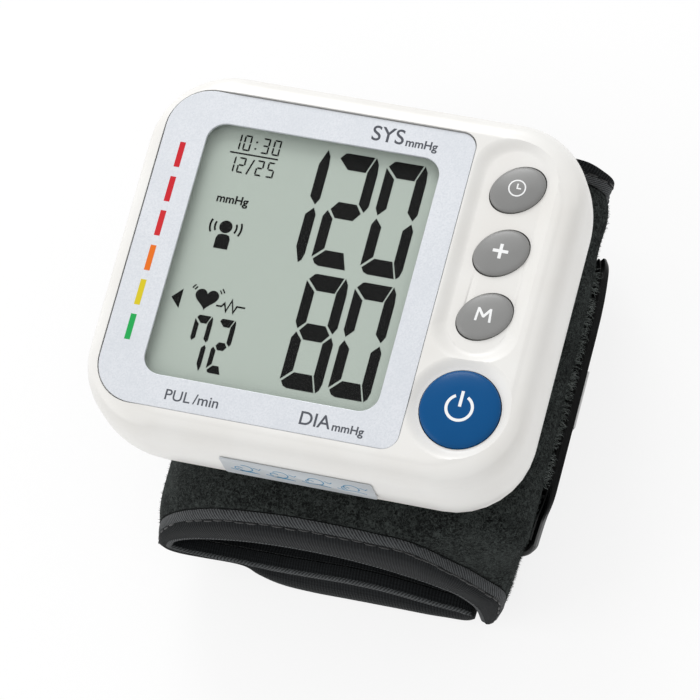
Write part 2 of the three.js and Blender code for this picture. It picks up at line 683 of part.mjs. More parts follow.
// Two cells side by side along X, joined at the left by one strip
function batteries() {
  const axisZ = below(batteryDepth)
  const cells = [[outerBatteryY, 1], [innerBatteryY, -1]]
  cells.forEach(([y, side], k) => {
    const tipFrom = side > 0 ? batteryX - batteryTipLength : -batteryX
    const canFrom = side > 0 ? -batteryX : batteryTipLength - batteryX
    const can = solid(rod(batteryRadius, canFrom, canFrom + batteryLength - batteryTipLength, y, axisZ))
    const tip = rod(batteryTipRadius, tipFrom - side * seatGap, tipFrom + batteryTipLength - side * seatGap, y, axisZ)
    const reach = rod(batteryTipRadius, tipFrom, tipFrom + batteryTipLength, y, axisZ)
    add(`battery_${k + 1}`, shape(joinAll(can, [tip, reach])), finish.battery)
  })

  const contactHalf = batteryRadius * contactSideShare
  const contactBack = axisZ - contactHalf
  const contactFront = axisZ + contactHalf
  const bridgeX = -batteryX - seatGap
  add('battery_bridge', block(
    bridgeX - contactThickness, bridgeX, innerBatteryY - contactHalf, outerBatteryY + contactHalf,
    contactBack, contactFront), finish.steel)

  const plateX = batteryX + seatGap + springLength + batteryTipLength
  const plateHalf = contactHalf
  const pieces = [['battery_plate', outerBatteryY, batteryTipRadius, true], ['battery_spring', innerBatteryY, springRadius, false]]
  for (const [name, y, radius, hollow] of pieces) {
    const plate = solid(block(plateX, plateX + contactThickness, y - plateHalf, y + plateHalf, contactBack, contactFront))
    const tower = rod(radius, batteryX + seatGap, plateX + contactThickness / 2, y, axisZ)
    const core = rod(radius / 2, batteryX - overrun, plateX, y, axisZ)
    add(name, shape(hollow ? joinAll(plate, [tower]) : cutAll(joinAll(plate, [tower]), [core])), finish.steel)
  }
}

// Motor, pump head and the crank shaft that turns between them
function pump() {
  const z = below(airDepth)
  const motorEnd = motorStart + motorLength
  const can = solid(rod(motorRadius, motorStart, motorEnd, airY, z)).intersect(
    solid(block(motorStart, motorEnd, airY - motorRadius, airY + motorRadius, z - motorFlat, z + motorFlat)))
  const bearing = rod(shaftRadius + bearingGap, motorEnd - shaftReach - runGap, motorEnd + overrun, airY, z)
  add('pump_motor', shape(cutAll(can, [bearing])), finish.steel)

  const headStart = motorEnd + seatGap
  const headEnd = headStart + headLength
  const half = headSide / 2
  const corner = headSide * headCornerShare
  const block2 = prism(evenRect(-half, half, -half, half, corner), headStart, headEnd)
  const head = solid(block2.rotateY(Math.PI / 2).translate(0, airY, z)).intersect(
    solid(block(headStart, headEnd, airY - half, airY + half, z - motorFlat, z + motorFlat)))
  const room = rod(crankRadius + runGap * 2, headStart - overrun, headStart + crankRoom, airY, z)
  const stub = rod(stubRadius, headEnd - seatGap, headEnd + stubLength, airY, z)
  add('pump_head', shape(cutAll(joinAll(head, [stub]), [room])), finish.black)

  const shaft = solid(rod(shaftRadius, motorEnd - shaftReach, headStart + crankRoom - runGap, airY, z))
  const crankStart = headStart + runGap * 2
  const crank = rod(crankRadius, crankStart, crankStart + crankThickness, airY, z)
  add('pump_shaft', shape(joinAll(shaft, [crank])), finish.steel)
  return headEnd
}

// Release valve with its sliding armature, and the tube that joins pump, valve, sensor and cuff
function airLine(headEnd) {
  const z = below(airDepth)
  const half = valveSide / 2
  const body = solid(block(valveStart, valveStart + valveLength, airY - half, airY + half, z - half, z + half))
  const valveStub = rod(stubRadius, valveStart - stubLength, valveStart + seatGap, airY, z)
  const bore = rod(
    armatureRadius + bearingGap, valveStart + valveLength - armatureLength, valveStart + valveLength + overrun, airY, z)
  add('valve_body', shape(cutAll(joinAll(body, [valveStub]), [bore])), finish.steel)
  const armatureEnd = valveStart + valveLength + armatureOut
  add('valve_armature', rod(armatureRadius, armatureEnd - armatureLength, armatureEnd, airY, z), finish.brass)

  const tubeStart = headEnd + seatGap
  const tubeEnd = valveStart - seatGap
  const branchTop = below(boardBack + sensorHeight + seatGap * 3)
  const branchFoot = below(caseDepth - shellWall - seatGap * 2)
  const tube = joinAll(solid(rod(tubeRadius, tubeStart, tubeEnd, airY, z)), [
    post(nozzleX, airY, tubeRadius, branchFoot, branchTop)])
  add('air_tube', shape(cutAll(tube, [
    rod(tubeBore, tubeStart - overrun, tubeEnd + overrun, airY, z),
    post(nozzleX, airY, tubeBore, branchFoot - overrun, branchTop + overrun)])), finish.tube)

  const flangeTop = cuffScrewSeat - clothGap
  const nozzleTop = branchFoot - seatGap
  const nozzle = stack([
    { outline: circle(nozzleX, airY, nozzleFlangeRadius), z: flangeTop - nozzleFlangeThickness },
    { outline: circle(nozzleX, airY, nozzleFlangeRadius), z: flangeTop },
    { outline: circle(nozzleX, airY, nozzleRadius), z: flangeTop },
    { outline: circle(nozzleX, airY, nozzleRadius), z: nozzleTop },
    { outline: circle(nozzleX, airY, stubRadius), z: nozzleTop },
    { outline: circle(nozzleX, airY, stubRadius), z: nozzleTop + stubLength / 2 },
  ])
  const drill = post(nozzleX, airY, nozzleBore / 2, flangeTop - overrun * 2, nozzleTop + stubLength)
  add('bladder_nozzle', shape(cutAll(solid(nozzle), [drill])), finish.former)
}

// Printed sticker on the near wall of the case
function sticker() {
  const y = -halfLength - stickerGap
  const outline = evenRect(
    halfWidth * stickerLeftShare, halfWidth * stickerRightShare, below(stickerBottomDepth), below(stickerTopDepth), stickerCorner, 3)
  const sheet = prism(outline, 0, stickerThickness).rotateX(Math.PI / 2).translate(0, y, 0)
  add('instruction_sticker', sheet, finish.sticker)
}

// Smooth course through a table's rows: outer, inner, outer edge and inner edge at each step,
// each from its own pair of columns
function curveOf(shares, column) {
  const rows = shares.map(row => new THREE.Vector3(row[column] * halfWidth, row[column + 1] * cuffTop, 0))
  return new THREE.CatmullRomCurve3(rows, false, 'centripetal')
}

function courseOf(shares) {
  const columns = [0, 2, 4, 6].map(column => curveOf(shares, column))
  const count = (shares.length - 1) * courseSteps
  return Array.from({ length: count + 1 }, (_, k) => courseAt(columns, k / count))
}

function courseAt(columns, share) {
  const [outer, inner, outerEdge, innerEdge] = columns.map(curve => {
    const p = curve.getPoint(share)
    return new THREE.Vector2(p.x, Math.min(cuffTop, Math.max(0, p.y)))
  })
  return { outer, inner, outerEdge, innerEdge }
}

// Depths into the cuff, measured from its outer or from its inner face
const fromOuter = depth => (outer, inner, way) => outer.clone().addScaledVector(way, depth)
const fromInner = depth => (outer, inner, way) => inner.clone().addScaledVector(way, -depth)

function coverPoint(stop, y, placed) {
  const fromEdge = Math.min(1, (sheetEdge - Math.abs(y)) / pillowWidth)
  const sag = lookUp(pillowShares, Math.max(0, fromEdge)) * (y > 0 ? farEdgeShare : 1)
  const outer = stop.outer.clone().lerp(stop.outerEdge, sag)
  const inner = stop.inner.clone().lerp(stop.innerEdge, sag)
  const way = inner.clone().sub(outer).normalize()
  const p = placed(outer, inner, way)
  return new THREE.Vector3(p.x, y, p.y)
}

function lookUp(table, at) {
  const k = table.findIndex(row => row[0] >= at)
  if (k < 1) return table[0][1]
  const [low, high] = [table[k - 1], table[k]]
  return THREE.MathUtils.mapLinear(at, low[0], high[0], low[1], high[1])
}

// Sheet of the cuff between two depths, reaching to an edge on both sides
function sheet(course, outerDepth, innerDepth, edge) {
  const places = [...new Set(pillowShares.map(([share]) => Math.min(edge, sheetEdge - share * pillowWidth)))]
  const across = [...places.map(y => -y), ...places.reverse()]
  const rings = course.map(stop => [
    ...across.map(y => coverPoint(stop, y, outerDepth)),
    ...across.slice().reverse().map(y => coverPoint(stop, y, innerDepth)),
  ])
  return loft(rings, rings[0].map((_, k) => outlineOf(across.length, k)))
}

// Flat stand-in outline for a ring with as many points on its first face as on its second
function outlineOf(count, k) {
  return k < count ? new THREE.Vector2(k, 0) : new THREE.Vector2(count * 2 - 1 - k, 1)
}

// Band sewn round the cuff's edge; shares of the band's width and of its height from the outer face.
// A height below zero stands up from the cuff's top and fades out down its sides.
const nearUpperShares = [[0, 0], [0.62, 0.1], [1, 0.36], [1, 0.86], [0.72, 0.98], [0, 1]]
const farUpperShares = [[0, 0], [0.85, -0.25], [1, -0.18], [1, 0.6], [0.7, 0.92], [0, 1]]
const flapBandShares = [[0, 0], [0.8, 0.02], [1, 0.1], [1, 0.66], [0.62, 0.92], [0, 1]]

function edgeBand(course, side, bandShares) {
  const start = side * (sheetEdge + clothGap)
  const rings = course.map(stop => {
    const outer = coverPoint(stop, side * sheetEdge, fromOuter(bindingShrink))
    const inner = coverPoint(stop, side * sheetEdge, fromInner(bindingShrink))
    const upward = Math.max(0, outer.clone().sub(inner).normalize().z) ** 3
    return bandShares.map(([out, down]) => outer.clone().lerp(
      inner, down < 0 ? down * upward : down).setY(start + side * out * bindingWidth))
  })
  return loft(rings, bandShares.map(([out, down]) => new THREE.Vector2(out, down)))
}

const stretch = (course, from, to) => course.slice(
  Math.round(from * (course.length - 1)), Math.round(to * (course.length - 1)) + 1)

// Cuff: sewn cover in velour and nylon, edge bands, bladder, stiff former and flap padding
function cuff() {
  const upper = courseOf(upperShares)
  const flap = courseOf(flapShares)
  const face = fromOuter(0)
  const velourBack = fromOuter(velourThickness)
  const liningFace = fromInner(0)
  const liningBack = fromInner(liningThickness)
  const formerFace = fromOuter(velourThickness + clothGap)
  const formerBack = fromOuter(velourThickness + clothGap + formerThickness)
  const bladderFace = fromOuter(cuffTop - cuffScrewSeat + cuffScrewHeadHeight + nozzleFlangeThickness + clothGap * 2)
  const fillBack = fromInner(liningThickness + clothGap)
  const holes = [
    post(nozzleX, airY, nozzleRadius + runGap, crownMiddle, cuffTop + overrun),
    ...[-cuffScrewX, cuffScrewX].map(x => post(x, cuffScrewY, screwRadius + runGap, crownMiddle, cuffTop + overrun)),
  ]
  const cut = block(-halfWidth, 0, -halfLength * 2, halfLength * 2, foldHeight - foldCut, foldHeight)
  add('velour_upper', shape(cutAll(solid(sheet(upper, face, velourBack, sheetEdge)), holes)), finish.velour)
  add('velour_flap', shape(cutAll(solid(sheet(flap, face, velourBack, sheetEdge)), [cut])), finish.velour)
  add('lining_upper', sheet(upper, liningBack, liningFace, sheetEdge), finish.nylon)
  add('lining_flap', shape(cutAll(solid(sheet(flap, liningBack, liningFace, sheetEdge)), [cut])), finish.nylon)
  for (const [name, side, upperBand] of [['near', -1, nearUpperShares], ['far', 1, farUpperShares]]) {
    add(`${name}_band_upper`, edgeBand(upper, side, upperBand), finish.nylon)
    add(`${name}_band_flap`, shape(cutAll(solid(edgeBand(flap, side, flapBandShares)), [cut])), finish.nylon)
  }
  const former = solid(sheet(stretch(upper, 0.2, 0.85), formerFace, formerBack, sheetEdge - formerMargin))
  add('cuff_former', shape(cutAll(former, holes)), finish.former)
  const fill = sheetEdge - bladderMargin
  add('air_bladder', sheet(stretch(upper, 0.13, 0.87), bladderFace, fillBack, fill), finish.bladder)
  add('flap_foam', sheet(stretch(flap, 0.42, 0.93), formerFace, fillBack, fill), finish.foam)

  for (const [k, x] of [-cuffScrewX, cuffScrewX].entries()) {
    const seat = cuffScrewSeat - clothGap / 2
    add(`cuff_screw_${k + 1}`, stack([
      { outline: circle(x, cuffScrewY, screwHeadRadius), z: seat - cuffScrewHeadHeight },
      { outline: circle(x, cuffScrewY, screwHeadRadius), z: seat },
      { outline: circle(x, cuffScrewY, screwRadius), z: seat },
      { outline: circle(x, cuffScrewY, screwRadius), z: seat + cuffScrewLength - overrun },
    ]), finish.steel)
  }
}

// Strip between two heights over lines that each run at one place along Y
function strip(lines, low, high) {
  const offset = (line, k, height) => {
    const before = line[Math.max(0, k - 1)]
    const after = line[Math.min(line.length - 1, k + 1)]
    const way = after.clone().sub(before).setY(0).normalize()
    return line[k].clone().add(new THREE.Vector3(way.z * height, 0, -way.x * height))
  }
  const rings = lines[0].map((_, k) => [
    ...lines.map(line => offset(line, k, low)),
    ...lines.slice().reverse().map(line => offset(line, k, high)),
  ])
  return loft(rings, rings[0].map((_, k) => outlineOf(lines.length, k)))
}

// Hook strap: short base sewn under the flap's end, long tip that peels off the velour
function strap() {
  const low = clothGap * 2 + hookThickness
  const high = low + strapThickness
  const half = strapThickness / 2
  const columns = [0, 2, 4, 6].map(column => curveOf(upperShares, column))
  const shares = Array.from({ length: strapSteps + 1 }, (_, k) => Math.sin(k / strapSteps * Math.PI / 2))
  const stops = shares.map(share => courseAt(columns, THREE.MathUtils.lerp(strapStartShare, strapEndShare, share)))
  const length = stops.slice(1).reduce((sum, stop, k) => sum + stop.outer.distanceTo(stops[k].outer), 0)
  const tuck = share => {
    const left = Math.max(0, strapCorner - length * (1 - share))
    return strapCorner - Math.sqrt(strapCorner ** 2 - left ** 2)
  }
  // Lines on the velour from near to far, drawn in by an inset and by the tip's round corners
  const linesOn = (near, far, inset, from = 0, to = 1, corners = 1) => {
    const rows = stops.map((stop, k) => {
      const edge = inset + corners * tuck(shares[k])
      const start = near + edge
      const places = [start, Math.max(start + clothGap, pillowWidth - sheetEdge), far - edge]
      return places.map(y => coverPoint(stop, y, fromOuter(0)))
    })
    return rows[0].map((_, j) => stretch(rows.map(row => row[j]), from, to))
  }

  const tipLines = linesOn(strapNear, strapFar, 0)
  add('hook_strap', strip(tipLines, low, high), finish.strap)
  add('hook_patch', strip(
    linesOn(strapNear, strapFar, hookMargin, hookStartShare, hookEndShare), clothGap, low - clothGap), finish.black)
  const labelFoot = high + clothGap / 2
  add('strap_label', strip(
    linesOn(labelNear, labelFar, 0, labelStartShare, labelEndShare, 0), labelFoot, labelFoot + labelThickness), finish.label)

  const baseLines = tipLines.map(([first, second]) => {
    const back = first.clone().sub(second).normalize()
    const out = new THREE.Vector3(-back.z, 0, back.x)
    const end = first.clone().addScaledVector(out, low + half).addScaledVector(back, seatGap)
    const turn = new THREE.Vector3(strapTurnX, first.y, half)
    const bend = new THREE.CubicBezierCurve3(
      turn, turn.clone().setX(strapTurnX + strapTurnReach), end.clone().addScaledVector(back, strapBendReach), end)
    return [new THREE.Vector3(strapBaseX, first.y, half), ...bend.getPoints(strapBendSteps)]
  })
  add('strap_base', strip(baseLines, -half, half), finish.strap)
}

frontCasing()
rearCasing()
batteryCover()
display()
mainBoard()
pushButtons()
caseScrews()
batteries()
airLine(pump())
sticker()
cuff()
strap()

export default part
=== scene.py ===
"""Wrist blood pressure monitor with its cuff closed, lying on a table."""

import math
import random

import bmesh
import bpy
from mathutils import Matrix, Vector, geometry, noise


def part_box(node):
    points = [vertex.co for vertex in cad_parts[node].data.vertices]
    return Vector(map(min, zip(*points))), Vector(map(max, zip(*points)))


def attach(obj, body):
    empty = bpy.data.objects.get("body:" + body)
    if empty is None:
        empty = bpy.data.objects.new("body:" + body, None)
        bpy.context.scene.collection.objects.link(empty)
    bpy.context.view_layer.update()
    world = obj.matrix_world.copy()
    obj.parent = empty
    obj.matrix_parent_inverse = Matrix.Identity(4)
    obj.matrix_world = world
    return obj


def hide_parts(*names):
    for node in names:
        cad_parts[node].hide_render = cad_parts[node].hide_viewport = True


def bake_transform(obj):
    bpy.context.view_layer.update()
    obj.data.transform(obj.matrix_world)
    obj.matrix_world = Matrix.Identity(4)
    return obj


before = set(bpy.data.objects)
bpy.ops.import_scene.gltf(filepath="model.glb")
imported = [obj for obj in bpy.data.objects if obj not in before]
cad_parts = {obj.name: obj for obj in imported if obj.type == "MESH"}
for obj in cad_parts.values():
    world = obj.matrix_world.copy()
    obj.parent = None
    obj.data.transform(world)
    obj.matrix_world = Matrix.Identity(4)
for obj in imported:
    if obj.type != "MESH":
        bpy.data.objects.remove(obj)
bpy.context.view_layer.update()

# Camera. A long lens some 85 cm above and to the near right of the monitor, turned so that the
# power key lies low on the right, as in a catalogue picture. Lengths in this file are millimetres
# until a piece is finished.
MM = 0.001
key_x, power_y, case_face = 26.74, -19.06, 62.5
to_lens = Vector((0.2310, -0.3080, 0.9229))
across = Vector((0.9570, 0.2430, -0.1584))
upward = Vector((-0.1755, 0.9198, 0.3509))
lens_distance = 851.4
picture_width = 700
lens_pixels = 5200
key_right, key_down = 109.23, 57.91
sensor_width = 36
sight = 10


def only(piece):
    """Selects a piece alone and makes it the active one."""
    bpy.ops.object.select_all(action="DESELECT")
    piece.select_set(True)
    bpy.context.view_layer.objects.active = piece
    return piece


def new_piece(name, data):
    piece = bpy.data.objects.new(name, data)
    bpy.context.scene.collection.objects.link(piece)
    return only(piece)


camera_data = bpy.data.cameras.new("camera")
camera_data.sensor_width = sensor_width
camera_data.lens = lens_pixels / picture_width * sensor_width
camera_data.clip_end = sight
camera = new_piece("camera", camera_data)
back = (to_lens * lens_pixels + across * key_right - upward * key_down).normalized()
side = (across - back * across.dot(back)).normalized()
turn = Matrix((side, back.cross(side), back)).transposed().to_4x4()
lens_place = Vector((key_x, power_y, case_face)) + to_lens * lens_distance
camera.matrix_world = Matrix.Translation(lens_place * MM) @ turn
bpy.context.scene.camera = camera

# Front casing. Injection-moulded white ABS with a fine matt texture, 1.8 mm thick, screwed to the
# rear casing from behind. Its face is flat inside a soft step, the shoulder outside rolls down to
# the side wall, and sunk wells with soft lips surround the keys.
case_width, case_length, case_corner = 76.6, 66, 14
parting_depth = 14.5
side_depth, back_rise, back_inset = 8.5, 16.5, 9
wall, face_thickness = 1.8, 2.6
# How far the outline is drawn in at each depth below the face: first where the wall curves away
# to the back, then over the shoulder to the flat face
shoulder = [
    (depth, back_inset * (1 - math.sqrt(1 - ((depth - side_depth) / back_rise) ** 2)))
    for depth in (parting_depth, 13, 11.5, 10, side_depth)] + [
    (4.5, 0), (3.5, 0.07), (2.7, 0.21), (2.0, 0.45), (1.4, 0.8), (0.95, 1.25),
    (0.62, 1.8), (0.42, 2.4), (0.3, 2.95), (0.17, 3.35), (0.05, 3.7), (0, 4.1)]
plate_box = (-35.4, 18, -28.3, 28.9)
plate_sink, plate_thickness = 0.4, 0.6
plate_corners = [7.3, 2.7] * 2
window_box, window_corner = (-27.9, 13.1, -22.6, 23.4), 3.3
window_rim = 1.4
seat, overrun = 0.2, 1
small_keys = {"memory": -2.4, "plus": 9.1, "clock": 20.6}
all_keys = {**small_keys, "power": power_y}
power_radius, key_radii = 6.8, (4.95, 3.8)
key_turn, key_gap = 40, 0.16
well_box = (19.6, 32.3, -10.1, 28.6)
power_well_radius = 8.3
well_depth, well_slope, well_steps = 0.9, 2.6, 12
well_foot_share, power_foot_share = 0.48, 0.55
well_lip = 0.5
round_edge, sharp_angle, smooth_angle = 0.14, 48, 38
# A well's side, as the share of its depth and of its slope's width, in one soft wave
well_side = [((1 - math.cos(math.pi * k / well_steps)) / 2, k / well_steps) for k in range(well_steps + 1)]


def linear(code):
    """sRGB hex colour as the linear values that a shader takes."""
    values = [int(code[k:k + 2], 16) / 255 for k in (1, 3, 5)]
    return [v / 12.92 if v <= 0.04045 else ((v + 0.055) / 1.055) ** 2.4 for v in values] + [1]


def plug(node, sockets):
    """Sets a node's sockets, or links them to an output or to the first output of a node."""
    for name, value in sockets.items():
        socket = node.inputs[name.replace("_", " ") if isinstance(name, str) else name]
        source = value.outputs[0] if isinstance(value, bpy.types.Node) else value
        if isinstance(source, bpy.types.NodeSocket):
            node.id_data.links.new(source, socket)
        else:
            socket.default_value = value


def add_node(material, kind, *values, ramp=(), **named):
    """Adds a node. Bare values and capitalised names go to its sockets, other names to its settings."""
    made = material.node_tree.nodes.new("ShaderNode" + kind)
    for name in [name for name in named if name[0].islower()]:
        setattr(made, name, named.pop(name))
    plug(made, {**dict(enumerate(values)), **named})
    for k, (position, colour) in enumerate(ramp):
        stop = made.color_ramp.elements[k] if k < 2 else made.color_ramp.elements.new(position)
        stop.position, stop.color = position, linear(colour)
    return made


def surface(material, **sockets):
    """Sets the sockets of the material's own shader, or links what feeds them."""
    plug(material.node_tree.nodes["Principled BSDF"], sockets)
    return material


def new_material(name, **constants):
    """A material with one surface shader, and the object coordinates that its patterns follow."""
    material = bpy.data.materials.new(name)
    material.use_nodes = True
    return surface(material, **constants), add_node(material, "TexCoord").outputs["Object"]


def moulded_plastic(name, colour, shade, roughness, grain, depth, **constants):
    """Moulded plastic: a faint cloudiness of colour, and the grain that the tool's surface leaves."""
    plastic, place = new_material(name, Roughness=roughness, IOR=1.54, **constants)
    cloud = add_node(plastic, "TexNoise", Vector=place, Scale=1 / (14 * MM), Detail=3)
    speck = add_node(plastic, "TexNoise", Vector=place, Scale=1 / (grain * MM), Detail=2)
    return surface(
        plastic, Base_Color=add_node(plastic, "ValToRGB", Fac=cloud, ramp=((0.3, shade), (0.62, colour))),
        Normal=add_node(plastic, "Bump", Height=speck, Strength=0.35, Distance=depth * MM))


# White ABS, moulded in a spark-eroded tool: even, slightly warm, softly glossy; grain drawn at
# 0.45 mm, coarser than real, so that it shows.
white_abs = moulded_plastic("white_moulded_abs", "#E9E8E5", "#E4E2DE", 0.36, 0.45, 0.012)


def mode(name):
    bpy.ops.object.mode_set(mode=name)


def begin(name, add, **place):
    """Adds a primitive with nothing else selected and opens it for editing."""
    bpy.ops.object.select_all(action="DESELECT")
    add(**place)
    piece = bpy.context.object
    piece.name = piece.data.name = name
    mode("EDIT")
    return piece


def settle():
    """Puts the place of the piece in hand into its mesh."""
    mode("OBJECT")
    bpy.ops.object.transform_apply()
    mode("EDIT")


def pick(piece, kind, wanted):
    """Selects the vertices or faces whose middle passes the test, and no others."""
    bpy.ops.mesh.select_mode(type=kind)
    bpy.ops.mesh.select_all(action="DESELECT")
    mesh = bmesh.from_edit_mesh(piece.data)
    for part in mesh.verts if kind == "VERT" else mesh.faces:
        if wanted(part.co if kind == "VERT" else part.calc_center_median()):
            part.select_set(True)
    mesh.select_flush_mode()
    bmesh.update_edit_mesh(piece.data)


def rounded_plate(name, box, height, corners, steps=14):
    """A flat plate; its corner radii are near left, near right, far left, far right."""
    left, right, near, far = box
    middle = ((left + right) / 2, (near + far) / 2, height)
    piece = begin(name, bpy.ops.mesh.primitive_plane_add, size=1, location=middle)
    bpy.ops.transform.resize(value=(right - left, far - near, 1), center_override=middle)
    settle()
    for radius, x, y in zip(corners, (left, right, left, right), (near, near, far, far)):
        pick(piece, "VERT", lambda at: math.hypot(at.x - x, at.y - y) < seat)
        bpy.ops.mesh.bevel(offset=radius, segments=steps, affect="VERTICES", profile=0.5)
    bpy.ops.mesh.select_mode(type="FACE")
    bpy.ops.mesh.select_all(action="SELECT")
    return piece


def grown(box, by):
    return (box[0] - by, box[1] + by, box[2] - by, box[3] + by)


def pull(rise):
    bpy.ops.mesh.extrude_region_move(TRANSFORM_OT_translate={"value": (0, 0, rise)})


def raise_face(middle, size, rise, grow=0):
    """Pulls the selected face up by a rise and widens its outline by grow on each side."""
    pull(rise)
    wider = [length + grow * 2 for length in size]
    bpy.ops.transform.resize(
        value=(wider[0] / size[0], wider[1] / size[1], 1), center_override=(*middle, 0))
    return wider


def close_open_end():
    """Fills the open end of the piece in hand and leaves editing."""
    bpy.ops.mesh.select_mode(type="EDGE")
    bpy.ops.mesh.select_all(action="DESELECT")
    bpy.ops.mesh.select_non_manifold()
    bpy.ops.mesh.edge_face_add()
    bpy.ops.mesh.select_all(action="SELECT")
    bpy.ops.mesh.normals_make_consistent(inside=False)
    bpy.ops.mesh.select_mode(type="FACE")
    mode("OBJECT")


def block_out(name, box, low, high, corners, steps=8):
    """A straight-sided block with a rounded outline."""
    piece = rounded_plate(name, box, low, corners, steps)
    pull(high - low)
    close_open_end()
    return piece


def apply_modifier(piece, kind, **settings):
    only(piece)
    made = piece.modifiers.new(kind.lower(), kind)
    for name, value in settings.items():
        setattr(made, name, value)
    bpy.ops.object.modifier_apply(modifier=made.name)


def cut(piece, tool):
    """Cuts the tool out of the piece and throws the tool away."""
    apply_modifier(piece, "BOOLEAN", object=tool, operation="DIFFERENCE", solver="EXACT")
    bpy.data.objects.remove(tool)


def smooth(piece, angle):
    only(piece)
    bpy.ops.object.shade_smooth_by_angle(angle=math.radians(angle))
    return piece


def soften_edges(piece, width, weight):
    """Rounds the sharp edges of a moulding a little and shades it smooth."""
    apply_modifier(
        piece, "BEVEL", width=width, segments=2, limit_method="ANGLE", angle_limit=math.radians(sharp_angle))
    apply_modifier(smooth(piece, smooth_angle), "WEIGHTED_NORMAL", keep_sharp=True, weight=weight)


def well_tool(piece, middle, size):
    """Carries a flat start at the well's floor up its soft side and out through the face."""
    before = (0, 0)
    for rise, out in well_side:
        size = raise_face(
            middle, size, (rise - before[0]) * (well_depth + 0.01), (out - before[1]) * well_slope)
        before = (rise, out)
    raise_face(middle, size, overrun, well_lip)
    close_open_end()
    return piece


def key_disc(name, y, radii, height, turn=key_turn, sides=48):
    """A filled oval at a key's place."""
    middle = (key_x, y, height)
    piece = begin(
        name, bpy.ops.mesh.primitive_circle_add, vertices=sides, radius=1, fill_type="NGON", location=middle)
    bpy.ops.transform.resize(value=(*radii, 1), center_override=middle)
    # With no window the operator turns the other way
    bpy.ops.transform.rotate(value=-math.radians(turn), orient_axis="Z", center_override=middle)
    settle()
    bpy.ops.mesh.select_all(action="SELECT")
    return piece


def key_size(name, more=0):
    major, minor = (power_radius, power_radius) if name == "power" else key_radii
    return major + more, minor + more


def finish(piece, material, body, slot, *nodes):
    """Turns a finished piece to metres, gives it its material, and lets it ride on its body."""
    bpy.context.view_layer.update()
    piece.data.transform(Matrix.Scale(MM, 4) @ piece.matrix_world)
    piece.matrix_world = Matrix.Identity(4)
    piece.data.materials.clear()
    piece.data.materials.append(material)
    if body:
        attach(piece, body)
    if nodes:
        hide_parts(*nodes)
    return piece


half_width, half_length = case_width / 2, case_length / 2
case_box = (-half_width, half_width, -half_length, half_length)
parting = case_face - parting_depth
depth_before, inset_before = shoulder[0]
front = rounded_plate(
    "front_shell", grown(case_box, -inset_before), parting, [case_corner - inset_before] * 4, 20)
size = [case_width - inset_before * 2, case_length - inset_before * 2]
for depth, inset in shoulder[1:]:
    size = raise_face((0, 0), size, depth_before - depth, inset_before - inset)
    depth_before, inset_before = depth, inset
close_open_end()
mode("EDIT")
pick(front, "FACE", lambda at: at.z < parting + seat)
bpy.ops.mesh.inset(thickness=wall)
pull(parting_depth - face_thickness)
mode("OBJECT")

well_floor = case_face - well_depth
foot_box = grown(well_box, -well_slope * well_foot_share)
foot_width, foot_length = foot_box[1] - foot_box[0], foot_box[3] - foot_box[2]
tool = rounded_plate("well", foot_box, well_floor, [foot_width / 2 - 0.01] * 4, 12)
middle = ((well_box[0] + well_box[1]) / 2, (well_box[2] + well_box[3]) / 2)
cut(front, well_tool(tool, middle, [foot_width, foot_length]))
foot = power_well_radius - well_slope * power_foot_share
tool = key_disc("power_well", power_y, (foot, foot), well_floor, 0, 64)
cut(front, well_tool(tool, (key_x, power_y), [foot * 2] * 2))
for name, y in all_keys.items():
    hole = key_disc("hole", y, key_size(name, key_gap), case_face - face_thickness - overrun)
    pull(face_thickness + overrun * 2)
    close_open_end()
    cut(front, hole)
cut(front, block_out(
    "plate_seat", grown(plate_box, seat), case_face - plate_sink - plate_thickness - seat,
    case_face + overrun, [radius + seat for radius in plate_corners], 12))
cut(front, block_out(
    "window", grown(window_box, window_rim), case_face - face_thickness - overrun, case_face + overrun,
    [window_corner] * 4))
cover_low, cover_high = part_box("battery_cover")
cover_gap = (
    cover_low.x / MM - seat, cover_high.x / MM + seat, half_length - wall * 2, half_length + wall)
cut(front, block_out("cover_gap", cover_gap, parting - overrun, cover_high.z / MM + seat, [0.05] * 4, 1))
soften_edges(front, round_edge, 60)
finish(front, white_abs, "monitor", "casing", "front_casing")

# Rear casing and battery cover. The same white ABS; the rear half curves in under the monitor and
# holds the cells behind a cover that slides out of the far wall, with ridges for the thumb.
ridge_count, ridge_pitch, ridge_width, ridge_half = 5, 1.1, 0.5, 6
ridge_rise, ridge_corner, ridge_start = 0.18, 0.1, 6.2
frame_merge, frame_angle = 0.002, 35


def merge(within):
    """Merges the doubles of the piece in hand, which stays in edit mode."""
    mode("EDIT")
    bpy.ops.mesh.select_all(action="SELECT")
    bpy.ops.mesh.remove_doubles(threshold=within)


def smooth_copy(node, name):
    """A piece in the frame's own shape, its loose triangles merged and its curves shaded smooth."""
    piece = new_piece(name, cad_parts[node].data.copy())
    piece.data.transform(Matrix.Scale(1 / MM, 4))
    merge(frame_merge)
    mode("OBJECT")
    return smooth(piece, frame_angle)


def joined(name, pieces):
    only(pieces[0])
    for piece in pieces:
        piece.select_set(True)
    bpy.ops.object.join()
    pieces[0].name = pieces[0].data.name = name
    return pieces[0]


finish(smooth_copy("rear_casing", "rear_shell"), white_abs, "monitor", "casing", "rear_casing")
cover = [smooth_copy("battery_cover", "cell_cover")]
for k in range(ridge_count):
    low = cover_high.z / MM - ridge_start - k * ridge_pitch
    cover.append(block_out(
        "ridge", (-ridge_half, ridge_half, half_length - wall / 2, half_length + ridge_rise), low,
        low + ridge_width, [ridge_corner] * 4, 2))
finish(joined("cell_cover", cover), white_abs, "cover", "casing", "battery_cover")

